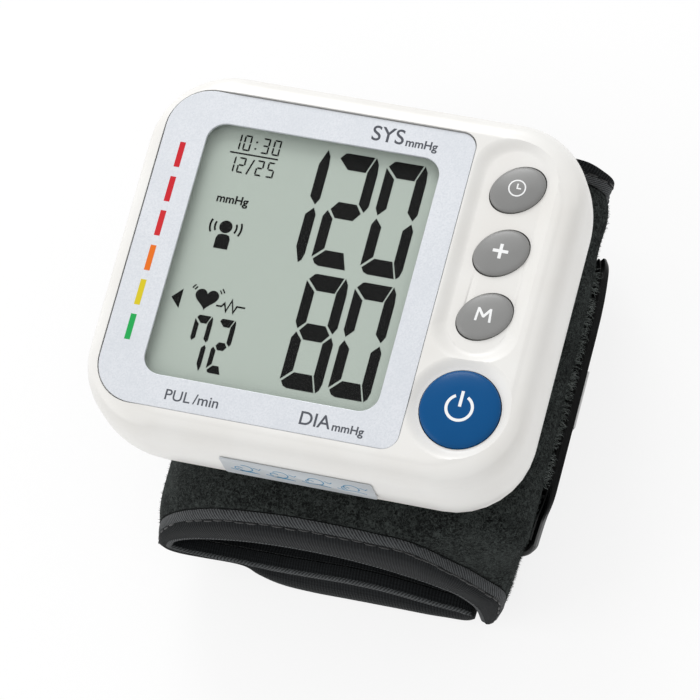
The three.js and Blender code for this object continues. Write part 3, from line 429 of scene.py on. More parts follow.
# Face plate. A thin ABS plate, lacquered silver with fine metal flake, glued into the recess of
# the front casing. Its scale marks and words are screen-printed.
flake = 0.22
plate_edge = 0.12
print_height = 0.02
join_merge = 0.0005
bar_colours = ["#C9252F", "#C9252F", "#CB2B31", "#E4701F", "#D6C327", "#23A552"]
bar_tops = [18.75, 12.35, 6.05, -0.35, -6.65, -12.95]
bar_left, bar_right, bar_length = -32.1, -31.1, 4.6
# Word, left, right, foot line and boldness
labels = [
    ("SYS", 0, 5.6, 24.95, 0.008), ("mmHg", 6.05, 11.6, 24.85, 0.02),
    ("DIA", 0.95, 6.3, -26.65, 0.008), ("mmHg", 6.65, 12.1, -26.75, 0.02),
    ("PUL", -22.5, -18.1, -26.7, 0.004), ("/min", -17.6, -13.2, -26.65, 0.01)]

# Silver lacquer: flake twinkles in tone and tilts the surface a little from spot to spot.
lacquer, place = new_material("silver_lacquer", Metallic=0.35, Roughness=0.42)
flakes = add_node(lacquer, "TexVoronoi", Vector=place, Scale=1 / (flake * MM))
cloud = add_node(lacquer, "TexNoise", Vector=place, Scale=1 / (9 * MM), Detail=4)
both = add_node(lacquer, "Math", flakes.outputs["Color"], cloud, operation="MULTIPLY")
surface(
    lacquer, Base_Color=add_node(lacquer, "ValToRGB", Fac=both, ramp=((0, "#D2D6DC"), (0.45, "#DEE1E6"))),
    Normal=add_node(lacquer, "Bump", Height=flakes, Strength=0.25, Distance=0.006 * MM))


def one_colour(name, colour, grain, strength, depth, detail=2, **constants):
    """A material of one colour whose face is a little uneven, with a grain and depth in millimetres."""
    made, place = new_material(name, Base_Color=linear(colour), **constants)
    film = add_node(made, "TexNoise", Vector=place, Scale=1 / (grain * MM), Detail=detail)
    return surface(made, Normal=add_node(made, "Bump", Height=film, Strength=strength, Distance=depth * MM))


def ink(name, colour, roughness=0.5):
    """Screen-printed ink, its film a little uneven."""
    return one_colour(name, colour, 0.3, 0.2, 0.004, Roughness=roughness, Specular_IOR_Level=0.15)


plate_top = case_face - plate_sink
plate = block_out("face_plate", plate_box, plate_top - plate_thickness, plate_top, plate_corners, 12)
cut(plate, block_out(
    "opening", window_box, plate_top - overrun * 2, plate_top + overrun, [window_corner] * 4, 12))
soften_edges(plate, plate_edge, 50)
finish(plate, lacquer, "monitor", "panel", "display_panel")


def to_mesh(name, curve, place):
    piece = new_piece(name, curve)
    piece.location = place
    bpy.ops.object.convert(target="MESH")
    bpy.ops.object.transform_apply()
    merge(join_merge)
    bpy.ops.mesh.normals_make_consistent(inside=False)
    mode("OBJECT")
    piece = bpy.context.object
    piece.name = name
    return piece


def flat_shape(name, outlines, low, high):
    """A thin solid from closed outlines; an outline inside another is a hole."""
    curve = bpy.data.curves.new(name, "CURVE")
    curve.dimensions = "2D"
    curve.fill_mode = "BOTH"
    curve.extrude = (high - low) / 2
    for outline in outlines:
        line = curve.splines.new("POLY")
        line.points.add(len(outline) - 1)
        for point, (x, y) in zip(line.points, outline):
            point.co = (x, y, 0, 1)
        line.use_cyclic_u = True
    return to_mesh(name, curve, (0, 0, (low + high) / 2))


def words(name, text, left, right, foot, weight, low, high):
    """Printed words, as wide as the room from left to right."""
    font = bpy.data.curves.new(name, "FONT")
    font.body = text
    font.extrude = 0.5
    font.offset = weight
    piece = to_mesh(name, font, (0, 0, 0))
    xs = [v.co.x for v in piece.data.vertices]
    zoom = (right - left) / (max(xs) - min(xs))
    shift = Matrix.Translation((left - min(xs) * zoom, foot, (low + high) / 2))
    piece.data.transform(shift @ Matrix.Diagonal((zoom, zoom, high - low, 1)))
    return piece


low, high = plate_top, plate_top + print_height
printed = joined("plate_words", [words("word", *label, low, high) for label in labels])
finish(printed, ink("grey_ink", "#54575E"), "monitor", "panel")
for k, (colour, top) in enumerate(zip(bar_colours, bar_tops)):
    foot = top - bar_length
    outline = [(bar_left, foot), (bar_right, foot), (bar_right, top), (bar_left, top)]
    bar = flat_shape(f"scale_mark_{k + 1}", [outline], low, high)
    finish(bar, ink(f"scale_ink_{k + 1}", colour, 0.45), "monitor", "panel")

# Window. A clear acrylic pane behind the plate, polished on both faces.
pane_rim = 1.2
lens_low, lens_high = (corner.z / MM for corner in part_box("window_lens"))
# Polished acrylic: clear, with faint sharp reflections.
acrylic = one_colour("polished_acrylic", "#10130F", 20, 0.1, 0.01, Roughness=0.03, IOR=1.49, Alpha=0.06)
pane = block_out("window_pane", grown(window_box, pane_rim), lens_low, lens_high, [window_corner] * 4)
finish(pane, acrylic, "monitor", "lens", "window_lens")

# Display. A reflective liquid crystal glass, grey-green, with black segments for time and date,
# upper and lower reading and pulse, beside generic signs for the heart, posture and memory.
glass_low, glass_high = (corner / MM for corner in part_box("lcd_panel"))
glass_corner = 1
film_low, film_high = glass_high.z + 0.02, glass_high.z + 0.05
segment_gap = 0.3
big = {"width": 7.3, "height": 20.7, "upright": 1.78, "level": 2.95}
medium = {"width": 3.1, "height": 9.8, "upright": 0.8, "level": 1.4}
small = {"width": 1.32, "height": 2.85, "upright": 0.26, "level": 0.27}
time_places = (-23.7, -21.9, -18.65, -16.7)
figures = [
    ("120", (-13.65, -5.1, 3.45), 1.85, big), ("80", (-4.75, 3.65), -20.3, big),
    ("72", (-21.65, -17.6), -20.15, medium), ("1030", time_places, 19.85, small),
    ("1225", time_places, 15.75, small)]
beat_line, clock_line = 0.27, 0.25
colon_x, colon_heights, colon_radius = -19.65, (20.5, 21.7), 0.17
head, head_radius, shoulders = (-20.9, 5.8), 1.13, (-22.1, -19.65, 1.8, 4.45)
heart, heart_half, heart_rise = (-20.75, -7.3), 2.05, 0.129

# Liquid crystal glass: a fine grain in an even grey-green, without gloss.
crystal, place = new_material("reflective_lcd_glass", Roughness=0.45, IOR=1.5, Specular_IOR_Level=0.2)
grain = add_node(crystal, "TexNoise", Vector=place, Scale=1 / (0.18 * MM), Detail=2)
surface(crystal, Base_Color=add_node(crystal, "ValToRGB", Fac=grain, ramp=((0, "#BCC8BE"), (1, "#C8D3CA"))))
glass_box = (glass_low.x, glass_high.x, glass_low.y, glass_high.y)
glass = block_out("display_glass", glass_box, glass_low.z, glass_high.z, [glass_corner] * 4, 4)
finish(glass, crystal, "monitor", "lcd", "lcd_panel")


def segments(sign, left, bottom, width, height, upright, level):
    """The lit bars of one figure: upright and level are the widths of its standing and lying bars."""
    w, h, m = width, height, height / 2
    tip, bevel = upright / 3, upright * 0.62
    gap = min(segment_gap, upright * 0.3)
    end, half = level * 0.56, level / 2
    bars = {
        "a": [(gap, h - bevel), (bevel, h - gap / 3), (bevel * 1.4, h), (w - bevel, h),
              (w - upright - gap, h - level), (upright + gap, h - level)],
        "b": [(w - bevel + gap, h), (w - tip / 3, h - bevel), (w, h - level), (w, m + half),
              (w - tip, m + gap), (w - upright, m + end), (w - upright, h - level + gap / 2)],
        "c": [(w - tip, m - gap), (w, m - half), (w, level * 0.6), (w - tip / 2, bevel / 2),
              (w - bevel + gap, 0), (w - upright, level - gap / 2), (w - upright, m - end)],
        "d": [(gap, bevel), (upright + gap, level), (w - upright - gap, level), (w - bevel, 0),
              (bevel * 1.4, 0), (bevel * 0.7, bevel * 0.3)],
        "e": [(tip, m - gap), (upright, m - end), (upright, level + gap), (0, bevel + gap), (0, m - half)],
        "f": [(0, h - bevel - gap), (upright, h - level - gap), (upright, m + end), (tip, m + gap),
              (0, m + half)],
        "g": [(tip + gap * 1.4, m), (upright + gap, m + half), (w - upright - gap, m + half),
              (w - tip - gap * 1.4, m), (w - upright - gap, m - half), (upright + gap, m - half)],
    }
    lit = {"0": "abcdef", "1": "bc", "2": "abged", "3": "abgcd", "5": "afgcd", "7": "fabc", "8": "abcdefg"}
    return [[(left + x, bottom + y) for x, y in bars[k]] for k in lit[sign]]


def circle_line(x, y, radius, steps=36):
    turns = [math.tau * k / steps for k in range(steps)]
    return [(x + radius * math.cos(a), y + radius * math.sin(a)) for a in turns]


def arc_band(x, y, radius, width, start, end, steps=16):
    """A curved stroke between two angles in degrees."""
    turns = [math.radians(start + (end - start) * k / steps) for k in range(steps + 1)]
    outer, inner = (
        [(x + reach * math.cos(a), y + reach * math.sin(a)) for a in turns]
        for reach in (radius + width / 2, radius - width / 2))
    return outer + inner[::-1]


def pen_line(points, width):
    """A stroke of even width along straight stretches, its corners mitred."""
    points = [Vector(p) for p in points]
    ways = [(b - a).normalized() for a, b in zip(points, points[1:])]
    sides = []
    for before, after in zip([ways[0]] + ways, ways + [ways[-1]]):
        lean = (before + after).normalized()
        sides.append(Vector((-lean.y, lean.x)) / max(0.4, lean.dot(before)) * width / 2)
    near = [tuple(p + s) for p, s in zip(points, sides)]
    return near + [tuple(p - s) for p, s in zip(points, sides)][::-1]


shapes = [
    bar for signs, places, y, kind in figures for sign, x in zip(signs, places)
    for bar in segments(sign, x, y, **kind)]
shapes += [circle_line(colon_x, y, colon_radius, 12) for y in colon_heights]
shapes += [pen_line([(-23.8, 19.25), (-15.3, 19.25)], clock_line)]
shapes += [pen_line([(-20.05, 15.7), (-19.25, 18.5)], clock_line)]
left, right, low, high = shoulders
shapes += [circle_line(*head, head_radius), [
    (left, low), (right, low), (right, high - 0.8), (right - 0.25, high - 0.2), (right - 0.8, high),
    (left + 0.8, high), (left + 0.25, high - 0.2), (left, high - 0.8)]]
shapes += [
    arc_band(*head, reach, 0.32, start, start + 50) for reach in (1.9, 2.75) for start in (-28, 158)]
shapes.append([(-26.75, -8.1), (-25.05, -6.35), (-25.05, -9.9)])
shapes.append([
    (heart[0] + heart_half * math.sin(a) ** 3, heart[1] + heart_rise * (
        13 * math.cos(a) - 5 * math.cos(2 * a) - 2 * math.cos(3 * a) - math.cos(4 * a)))
    for a in (math.tau * k / 48 for k in range(48))])
shapes += [arc_band(*heart, reach, 0.22, start, start + 15) for reach in (2.65, 3.15) for start in (27, 138)]
shapes.append(pen_line([
    (-18.8, -8.25), (-17.9, -8.25), (-17.45, -7.6), (-16.95, -9.0), (-16.3, -6.9), (-15.65, -9.05),
    (-15.25, -7.85), (-13.8, -7.85)], beat_line))
unit = words("unit", "mmHg", -23.8, -18.25, 10.1, 0.02, film_low, film_high)
lit = joined("display_segments", [flat_shape("lit", shapes, film_low, film_high), unit])
finish(lit, ink("black_liquid_crystal", "#050606", 0.5), "monitor", "lcd")

# Display frame and contact strip. A white ABS frame holds the glass above the board; a rubber strip
# of conducting and insulating layers joins the glass to the board's contacts.
layer_pitch = 0.5


def dress(node, material):
    """Gives a piece of the frame that keeps its own shape its material."""
    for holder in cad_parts[node].material_slots:
        holder.material = material


def wave(material, run, pitch):
    """Goes up and down once for each pitch along a run."""
    angle = add_node(material, "Math", run, math.tau / pitch, operation="MULTIPLY")
    return add_node(material, "Math", angle, operation="SINE")


# Layered silicone rubber: dark and flesh-coloured stripes, matt.
rubber, place = new_material("layered_silicone_rubber", Roughness=0.6, IOR=1.41)
layer = wave(rubber, add_node(rubber, "SeparateXYZ", place), layer_pitch * MM)
surface(rubber, Base_Color=add_node(rubber, "ValToRGB", Fac=layer, ramp=((0, "#C9AFA8"), (1, "#2A2A2B"))))
# White ABS for the frame, plainer than the casing's: even and rather dull.
dress("lcd_frame", moulded_plastic("white_frame_abs", "#E2E3E1", "#D8D9D6", 0.45, 0.5, 0.01))
dress("zebra_strip", rubber)

# Main board. Glass-fibre epoxy under a green solder mask, its copper tracks showing through, with
# four push switches under the keys: black nylon housings with brass-coloured plungers.
track_pitch = 2.4
# Solder mask over copper: glossy dark green, its tracks a paler green.
mask, place = new_material("green_solder_mask", Roughness=0.32, IOR=1.55, Coat_Weight=0.3)
tracks = add_node(
    mask, "TexBrick", Vector=place, Scale=1 / (track_pitch * 4 * MM), Mortar_Size=0.018, Mortar_Smooth=0.1,
    Color1=linear("#1D5A35"), Color2=linear("#1A5231"), Mortar=linear("#3C8552"))
surface(mask, Base_Color=tracks, Normal=add_node(
    mask, "Bump", Height=tracks.outputs["Fac"], Strength=0.4, Distance=0.03 * MM))
dress("main_board", mask)


def plated_metal(name, colour, shade, roughness, wear):
    """Plated or drawn metal: tone and gloss vary a little where it has been handled."""
    metal, place = new_material(name, Metallic=1)
    cloud = add_node(metal, "TexNoise", Vector=place, Scale=1 / (wear * MM), Detail=5, Roughness=0.65)
    return surface(
        metal, Base_Color=add_node(metal, "ValToRGB", Fac=cloud, ramp=((0, shade), (1, colour))),
        Roughness=add_node(metal, "MapRange", Value=cloud, To_Min=roughness + 0.08, To_Max=roughness - 0.05),
        Normal=add_node(metal, "Bump", Height=cloud, Strength=0.2, Distance=0.01 * MM))


# Moulded nylon: near black, half matt. Drawn brass: warm yellow, dulled here and there by handling.
black_nylon = moulded_plastic("black_moulded_nylon", "#1B1C1D", "#151617", 0.48, 0.35, 0.01)
brass = plated_metal("drawn_brass", "#C9A254", "#B08A42", 0.32, 1.2)
for name in all_keys:
    dress(f"{name}_switch", black_nylon)
    dress(f"{name}_switch_stem", brass)

# Air line. A small motor in a steel can turns the crank of a diaphragm pump; a silicone tube leads
# the air past a pressure sensor and a release valve down to the bladder's nozzle. A buzzer beeps.
# Nickel-plated steel: bright and faintly clouded. Natural polypropylene: milky white, half matt.
# Silicone: colourless, with a soft shine and some light coming through.
steel = plated_metal("nickel_plated_steel", "#C3C5C6", "#A5A8AA", 0.3, 2.5)
polypropylene = moulded_plastic("natural_polypropylene", "#C6C9CA", "#B9BDBE", 0.42, 0.6, 0.01)
silicone = one_colour(
    "clear_silicone_tube", "#DDE1E2", 0.8, 0.25, 0.02, 3, Roughness=0.32, IOR=1.41, Transmission_Weight=0.35)
dress("pressure_sensor", black_nylon)
for node, name, material, body, slot in (
        ("pump_motor", "motor_can", steel, "monitor", "steel"),
        ("pump_head", "diaphragm_head", black_nylon, "monitor", "black_plastic"),
        ("pump_shaft", "crank_shaft", steel, "pump_rotor", "steel"),
        ("valve_body", "valve_can", steel, "monitor", "steel"),
        ("valve_armature", "valve_plunger", brass, "armature", "brass"),
        ("air_tube", "branched_tube", silicone, "monitor", "tube"),
        ("bladder_nozzle", "nozzle", polypropylene, "monitor", "former"),
        ("buzzer", "buzzer_can", black_nylon, "monitor", "black_plastic")):
    finish(smooth_copy(node, name), material, body, slot, node)

# Cells and contacts. Two AAA cells in printed film lie side by side; a plate, a coil spring and a
# bridge strip of nickel-plated steel join them to the board.
cell_half = 22.25
film_bands = (
    (0, "#A9ADAF"), (0.02, "#8E9496"), (0.78, "#1F6B72"), (0.8, "#DADCDC"), (0.82, "#1F6B72"),
    (0.972, "#BFC2C3"))


def cell_film(name, way):
    """Printed film over a steel can: plain grey with a teal band at the raised pole, which stays bare."""
    film, place = new_material(name, Roughness=0.3, Coat_Weight=0.4, Coat_Roughness=0.15, Metallic=0.25)
    level = add_node(
        film, "MapRange", Value=add_node(film, "SeparateXYZ", place), From_Min=-cell_half * MM * way,
        From_Max=cell_half * MM * way)
    bands = add_node(film, "ValToRGB", Fac=level, ramp=film_bands)
    bands.color_ramp.interpolation = "CONSTANT"
    crease = add_node(film, "TexNoise", Vector=place, Scale=1 / (3 * MM), Detail=2)
    return surface(film, Base_Color=bands, Normal=add_node(
        film, "Bump", Height=crease, Strength=0.15, Distance=0.03 * MM))


for node, name, material, slot in (
        ("battery_1", "outer_cell", cell_film("outer_cell_film", 1), "battery"),
        ("battery_2", "inner_cell", cell_film("inner_cell_film", -1), "battery"),
        ("battery_spring", "coil_contact", steel, "steel"),
        ("battery_plate", "plate_contact", steel, "steel")):
    finish(smooth_copy(node, name), material, "monitor", slot, node)
dress("battery_bridge", steel)

# Screws. Four steel screws hold the casings together from behind and two hold the cuff's former,
# a curved plate of polypropylene, to the rear casing.
for kind, name, count in (("case_screw", "casing_screw", 4), ("cuff_screw", "former_screw", 2)):
    for k in range(1, count + 1):
        finish(smooth_copy(f"{kind}_{k}", f"{name}_{k}"), steel, "monitor", "steel", f"{kind}_{k}")
finish(smooth_copy("cuff_former", "curved_former"), polypropylene, "monitor", "former", "cuff_former")

# Keys. Domed caps of grey or blue ABS that stand in the wells on the plungers of their switches;
# their signs are printed in white.
key_foot, key_rim = case_face - face_thickness - seat, 61.7
flange, flange_height = 0.6, 0.7
dome_angle = 40
# Rise of the dome and how far its outline is drawn in there
dome = [
    (0.14, 0.03), (0.28, 0.11), (0.4, 0.24), (0.5, 0.44), (0.6, 0.8), (0.7, 1.35), (0.79, 2.0),
    (0.86, 2.7), (0.9, 3.3)]
sign_lift, sign_cuts = 0.005, 4
plus_reach, plus_width = 1.32, 0.56
letter_m = [
    (-1.42, -1.2), (-1.2, 1.2), (-0.85, 1.2), (0, 0.02), (0.85, 1.2), (1.2, 1.2), (1.42, -1.2),
    (1.0, -1.2), (0.88, 0.48), (0.17, -0.5), (-0.17, -0.5), (-0.88, 0.48), (-1.0, -1.2)]
# Grey and blue ABS, from a finer tool than the casing's: even in colour and softly glossy.
grey_abs = moulded_plastic("grey_moulded_abs", "#8B8B8A", "#838382", 0.38, 0.4, 0.008)
blue_abs = moulded_plastic(
    "blue_moulded_abs", "#004E86", "#004A80", 0.3, 0.5, 0.006, Specular_IOR_Level=0.15)
white_ink = ink("white_ink", "#F1F2F2", 0.45)


def key_cap(name, y):
    middle = (key_x, y)
    cap = key_disc(f"{name}_cap", y, key_size(name, flange), key_foot, sides=72)
    size = raise_face(middle, [2 * radius for radius in key_size(name, flange)], flange_height)
    size = raise_face(middle, size, 0, -flange)
    size = raise_face(middle, size, key_rim - key_foot - flange_height)
    for (low, before), (rise, drawn_in) in zip([(0, 0)] + dome, dome):
        size = raise_face(middle, size, rise - low, before - drawn_in)
    close_open_end()
    return smooth(cap, dome_angle)


def lay_on(sign, cap):
    """Drops a flat sign on to a domed cap, cut fine enough to follow it."""
    mode("EDIT")
    bpy.ops.mesh.select_all(action="SELECT")
    bpy.ops.mesh.subdivide(number_cuts=sign_cuts)
    mode("OBJECT")
    top = max(v.co.z for v in sign.data.vertices)
    for vertex in sign.data.vertices:
        over = 0 if vertex.co.z < top - print_height / 2 else print_height
        hit, at, _, _ = cap.ray_cast((vertex.co.x, vertex.co.y, case_face + 5), (0, 0, -1))
        vertex.co.z = (at.z if hit else vertex.co.z) + over + sign_lift


def plus_sign(y):
    a, b = plus_width / 2, plus_reach
    corners = [
        (-b, -a), (-a, -a), (-a, -b), (a, -b), (a, -a), (b, -a), (b, a), (a, a), (a, b), (-a, b), (-a, a),
        (-b, a)]
    return [[(key_x + p, y + q) for p, q in corners]]


signs = {
    "clock": lambda y: [
        circle_line(key_x, y, 1.52), circle_line(key_x, y, 1.28),
        pen_line([(key_x, y + 0.8), (key_x, y - 0.06), (key_x + 0.68, y - 0.06)], 0.24)],
    "plus": plus_sign,
    "memory": lambda y: [[(key_x + a, y + b) for a, b in letter_m]],
    "power": lambda y: [
        arc_band(key_x, y, 2.2, 0.5, 118, 422, 40),
        pen_line([(key_x, y + 0.2), (key_x, y + 2.95)], 0.52)],
}
for name, y in all_keys.items():
    plastic, slot = (blue_abs, "blue_button") if name == "power" else (grey_abs, "grey_button")
    cap = key_cap(name, y)
    sign = flat_shape(f"{name}_sign", signs[name](y), case_face, case_face + print_height)
    lay_on(sign, cap)
    finish(cap, plastic, f"{name}_key", slot, f"{name}_button")
    finish(sign, white_ink, f"{name}_key", slot)

# Instruction label. A silver-grey film, glued to the near wall of the case and screen-printed with
# a row of small blue outlines.
motif_count, motif_pitch, motif_rise = 4, 6.2, 0.25
pen = 0.16
label_low, label_high = (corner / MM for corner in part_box("instruction_sticker"))
label_middle = (label_low + label_high) / 2
# Silver-grey film: smooth and half matt, with long low waves where it is stuck down.
film = one_colour("silver_grey_film", "#C3C8CC", 4, 0.15, 0.05, Roughness=0.35)
finish(smooth_copy("instruction_sticker", "label_film"), film, "monitor", "sticker", "instruction_sticker")
motifs = []
for k in range(motif_count):
    x, z = label_middle.x + (k - (motif_count - 1) / 2) * motif_pitch, label_middle.z + motif_rise
    motifs.append(arc_band(x, z, 1.35, 0.2, 200 + k * 40, 470 + k * 40, 20))
    motifs.append(arc_band(x - 1.1, z - 0.5, 0.7, 0.18, 20, 250, 12))
    for line in (
            ((-2.6, -1.1), (-1.3, -1.6), (0.4, -1.25), (2.4, -1.75)), ((1.6, 0.9), (2.5, 0.2), (2.9, 0.9))):
        motifs.append(pen_line([(x + a, z + b) for a, b in line], pen))
motif = flat_shape("label_motif", motifs, 0, print_height)
motif.data.transform(Matrix.Translation((0, label_low.y, 0)) @ Matrix.Rotation(math.pi / 2, 4, "X"))
finish(motif, ink("blue_ink", "#3E83A8"), "monitor", "sticker")

# Cuff. A tube of cloth round a curved former and an air bladder: looped velour outside, ribbed nylon
# inside and round both edges, light tape on the seams. Its course runs from the short end up the
# right, under the case and down to the fold; the flap goes on under the wrist to its free end.
cuff_top, cuff_width = 37.3, 74.6
binding, layer_gap, pillow = 2.6, 0.2, 6
seam_y = cuff_width / 2 - binding - layer_gap
velour_depth, lining_depth, lining_relief = 1.5, 0.8, 0.6
far_sag = 0.2
pillow_shares, pillow_crowding, middle_steps = (0, 0.12, 0.25, 0.4, 0.55, 0.7, 0.85, 1), 1.6, 22
pinch_y, pinch_reach, pinch_depth = 25, 7.5, 1.3
pinch_from, pinch_full = 26, 31
# X as a share of half the case's width and height as a share of the cuff's top, for the outer and
# the inner face at mid width and then for the outer and the inner face at the near edge
upper_rows = [
    (0.786, 0.172, 0.668, 0.225, 0.736, 0.075, 0.662, 0.118),
    (0.818, 0.308, 0.651, 0.338, 0.797, 0.270, 0.656, 0.316),
    (0.859, 0.483, 0.624, 0.418, 0.818, 0.450, 0.626, 0.389),
    (0.908, 0.684, 0.611, 0.499, 0.739, 0.606, 0.601, 0.440),
    (0.948, 0.831, 0.596, 0.534, 0.686, 0.692, 0.572, 0.469),
    (0.885, 0.954, 0.582, 0.568, 0.629, 0.756, 0.538, 0.493),
    (0.736, 1.000, 0.554, 0.606, 0.556, 0.845, 0.489, 0.523),
    (0.514, 1.000, 0.449, 0.650, 0.447, 0.936, 0.410, 0.560),
    (0.332, 1.000, 0.319, 0.681, 0.279, 0.965, 0.267, 0.622),
    (0.123, 1.000, 0.123, 0.692, 0.097, 0.979, 0.083, 0.665),
    (-0.087, 1.000, -0.087, 0.692, -0.099, 0.973, -0.099, 0.670),
    (-0.295, 1.000, -0.282, 0.684, -0.292, 0.936, -0.295, 0.646),
    (-0.517, 0.917, -0.441, 0.622, -0.483, 0.866, -0.464, 0.590),
    (-0.703, 0.745, -0.588, 0.520, -0.666, 0.724, -0.614, 0.520),
    (-0.815, 0.552, -0.691, 0.429, -0.786, 0.547, -0.713, 0.434),
    (-0.853, 0.354, -0.739, 0.354, -0.838, 0.354, -0.750, 0.354)]
flap_rows = upper_rows[-1:] + [
    (-0.833, 0.252, -0.723, 0.322, -0.812, 0.290, -0.733, 0.345),
    (-0.770, 0.206, -0.691, 0.308, -0.756, 0.262, -0.700, 0.335),
    (-0.634, 0.200, -0.621, 0.303, -0.634, 0.262, -0.621, 0.333),
    (-0.464, 0.187, -0.464, 0.308, -0.430, 0.262, -0.445, 0.333),
    (-0.374, 0.107, -0.361, 0.319, -0.381, 0.150, -0.361, 0.333),
    (-0.242, 0.027, -0.230, 0.332, -0.277, 0.040, -0.246, 0.335),
    (-0.139, 0.000, -0.112, 0.343, -0.130, 0.016, -0.112, 0.343),
    (0.070, 0.000, 0.070, 0.359, 0.070, 0.018, 0.070, 0.357),
    (0.253, 0.000, 0.253, 0.343, 0.253, 0.022, 0.253, 0.340),
    (0.410, 0.000, 0.410, 0.295, 0.410, 0.026, 0.410, 0.290),
    (0.501, 0.044, 0.501, 0.263, 0.501, 0.040, 0.501, 0.257),
    (0.598, 0.068, 0.598, 0.236, 0.596, 0.060, 0.596, 0.231),
    (0.655, 0.119, 0.642, 0.202, 0.650, 0.127, 0.639, 0.199)]
last_upper, last_flap = len(upper_rows) - 1, len(flap_rows) - 1
fold_row, row_steps = 13, 7
soft_size, soft_relief, soft_sink = 9, 0.3, 0.12
gather_pitch, gather_relief, gather_fade = 3.4, 0.13, 1.7
gather_wander, wander_along, wander_across = 2.4, 5, 8
# Rounding of a free end: how far back its rings lie, as shares of its reach, and the least share of
# the thickness that stays
end_shares, end_least, end_limit = (0, 0.12, 0.35, 0.65), 0.3, 0.9
cloth_end, band_end = 0.8, 1.6
# Share of the binding's width, share of the way from the outer to the inner face, and how much of
# the width a groove takes where the cuff is thick
near_profile = [
    (0, 0.0, 0), (0.3, 0.02, 0), (0.62, 0.08, 0), (0.86, 0.17, 0), (1, 0.34, 0), (1.02, 0.48, 0),
    (1.02, 0.6, 0), (1.01, 0.7, 0), (0.99, 0.8, 0), (0.93, 0.89, 0), (0.8, 0.96, 0), (0.4, 1, 0), (0, 1, 0)]
far_profile = [
    (0, 0, 0), (0.3, -0.1, 0), (0.6, -0.21, 0), (0.85, -0.25, 0), (0.98, -0.18, 0), (1, 0, 0),
    (1, 0.25, 0), (1, 0.45, 0), (1, 0.62, 0), (0.94, 0.78, 0), (0.8, 0.9, 0), (0.4, 0.98, 0), (0, 1, 0)]
flap_profile = [
    (0, 0, 0), (0.4, 0.01, 0), (0.8, 0.04, 0), (0.96, 0.1, 0), (1, 0.25, 0), (0.97, 0.44, 0.08),
    (0.92, 0.56, 0.34), (0.9, 0.66, 0.5), (0.92, 0.76, 0.28), (0.96, 0.84, 0), (0.86, 0.93, 0),
    (0.3, 0.99, 0), (0, 1, 0)]
profile_change = 0.3
band_thinner, band_swell, swell_length = 0.3, 0.04, 4
thin_cuff, thick_cuff = 5.5, 9.5
corner_from, corner_full, corner_lift = 24, 30, 0.5
tape_steps, tape_height, tape_hem, tape_sink = 7, 0.14, 0.04, 0.12
seam_tape_start, seam_tape_width, rim_tape_start, rim_tape_width = 0.05, 1.8, -2.0, 1.3
stitch_start, stitch_pitch, stitch_length, stitch_thread = 2.1, 2.6, 2.1, 0.3
stitch_lift, stitch_wander, stitch_turn = 0.05, 0.12, 1.7
# Share of a stitch's length from its middle, and of its thread's thickness
stitch_form = [(-0.5, 0.35), (-0.32, 1), (0, 1.1), (0.32, 1), (0.5, 0.35)]
pile_root, pile_depth, pile_seed, pile_lean = 0.05, 0.08, 11, 0.55
pile_shortest, pile_longest, pile_margin, pile_floor = 0.25, 0.6, 0.6, 0.05
pile_counts = {"upper": 26000, "flap": 9000}
rib_pitch, course_pitch, braid_pitch = 0.55, 0.4, 0.62


def ramp_up(value, start, full):
    """0 up to the start, 1 from full on, and even in between."""
    return min(1, max(0, (value - start) / (full - start)))


def through(points, at):
    """Point on the smooth curve through the points, at a row number with a fraction."""
    k = min(int(at), len(points) - 2)
    t = at - k
    one, two = points[k], points[k + 1]
    before = points[k - 1] if k else one * 2 - two
    after = points[k + 2] if k + 2 < len(points) else two * 2 - one
    a, b, c = (max((q - p).length, 1e-4) ** 0.5 for p, q in ((before, one), (one, two), (two, after)))
    leave = ((one - before) / a - (two - before) / (a + b) + (two - one) / b) * b
    reach = ((two - one) / b - (after - one) / (b + c) + (after - two) / c) * b
    return (
        one * (2 * t ** 3 - 3 * t ** 2 + 1) + leave * (t ** 3 - 2 * t ** 2 + t)
        + two * (3 * t ** 2 - 2 * t ** 3) + reach * (t ** 3 - t ** 2))


def course(rows, start, end, shares=None):
    """Stops along the cuff: outer, inner, near-edge outer and near-edge inner points."""
    columns = [[Vector((row[c] * half_width, row[c + 1] * cuff_top)) for row in rows] for c in (0, 2, 4, 6)]
    count = max(1, round((end - start) * row_steps))
    stops = [
        [through(column, start + (end - start) * share) for column in columns]
        for share in shares or [k / count for k in range(count + 1)]]
    for stop in stops:
        for point in stop:
            point.y = min(cuff_top, max(0, point.y))
    return stops


def faces_at(stop, y):
    """Outer and inner face of the cuff at a place across it, sagging towards the sewn edges."""
    sag = (1 - ramp_up(seam_y - abs(y), 0, pillow)) ** 2 * (far_sag if y > 0 else 1)
    outer, inner = stop[0].lerp(stop[2], sag), stop[1].lerp(stop[3], sag)
    # The strap draws the cuff in below its far side
    drawn_in = pinch_depth * ramp_up(outer.x, pinch_from, pinch_full)
    drawn_in *= math.exp(-((y - pinch_y) / pinch_reach) ** 2)
    return outer + (inner - outer).normalized() * drawn_in, inner


def in_cuff(stop, y, depth, from_inner=False):
    """A point a depth into the cuff from its outer or its inner face."""
    outer, inner = faces_at(stop, y)
    way = (inner - outer).normalized()
    at = inner - way * depth if from_inner else outer + way * depth
    return Vector((at.x, y, at.y))


def run_of(points):
    """Distance from the first point to each, along a line of points."""
    run = [0]
    for a, b in zip(points, points[1:]):
        run.append(run[-1] + (b - a).length)
    return run


def lengths(stops):
    return run_of([stop[0] for stop in stops])


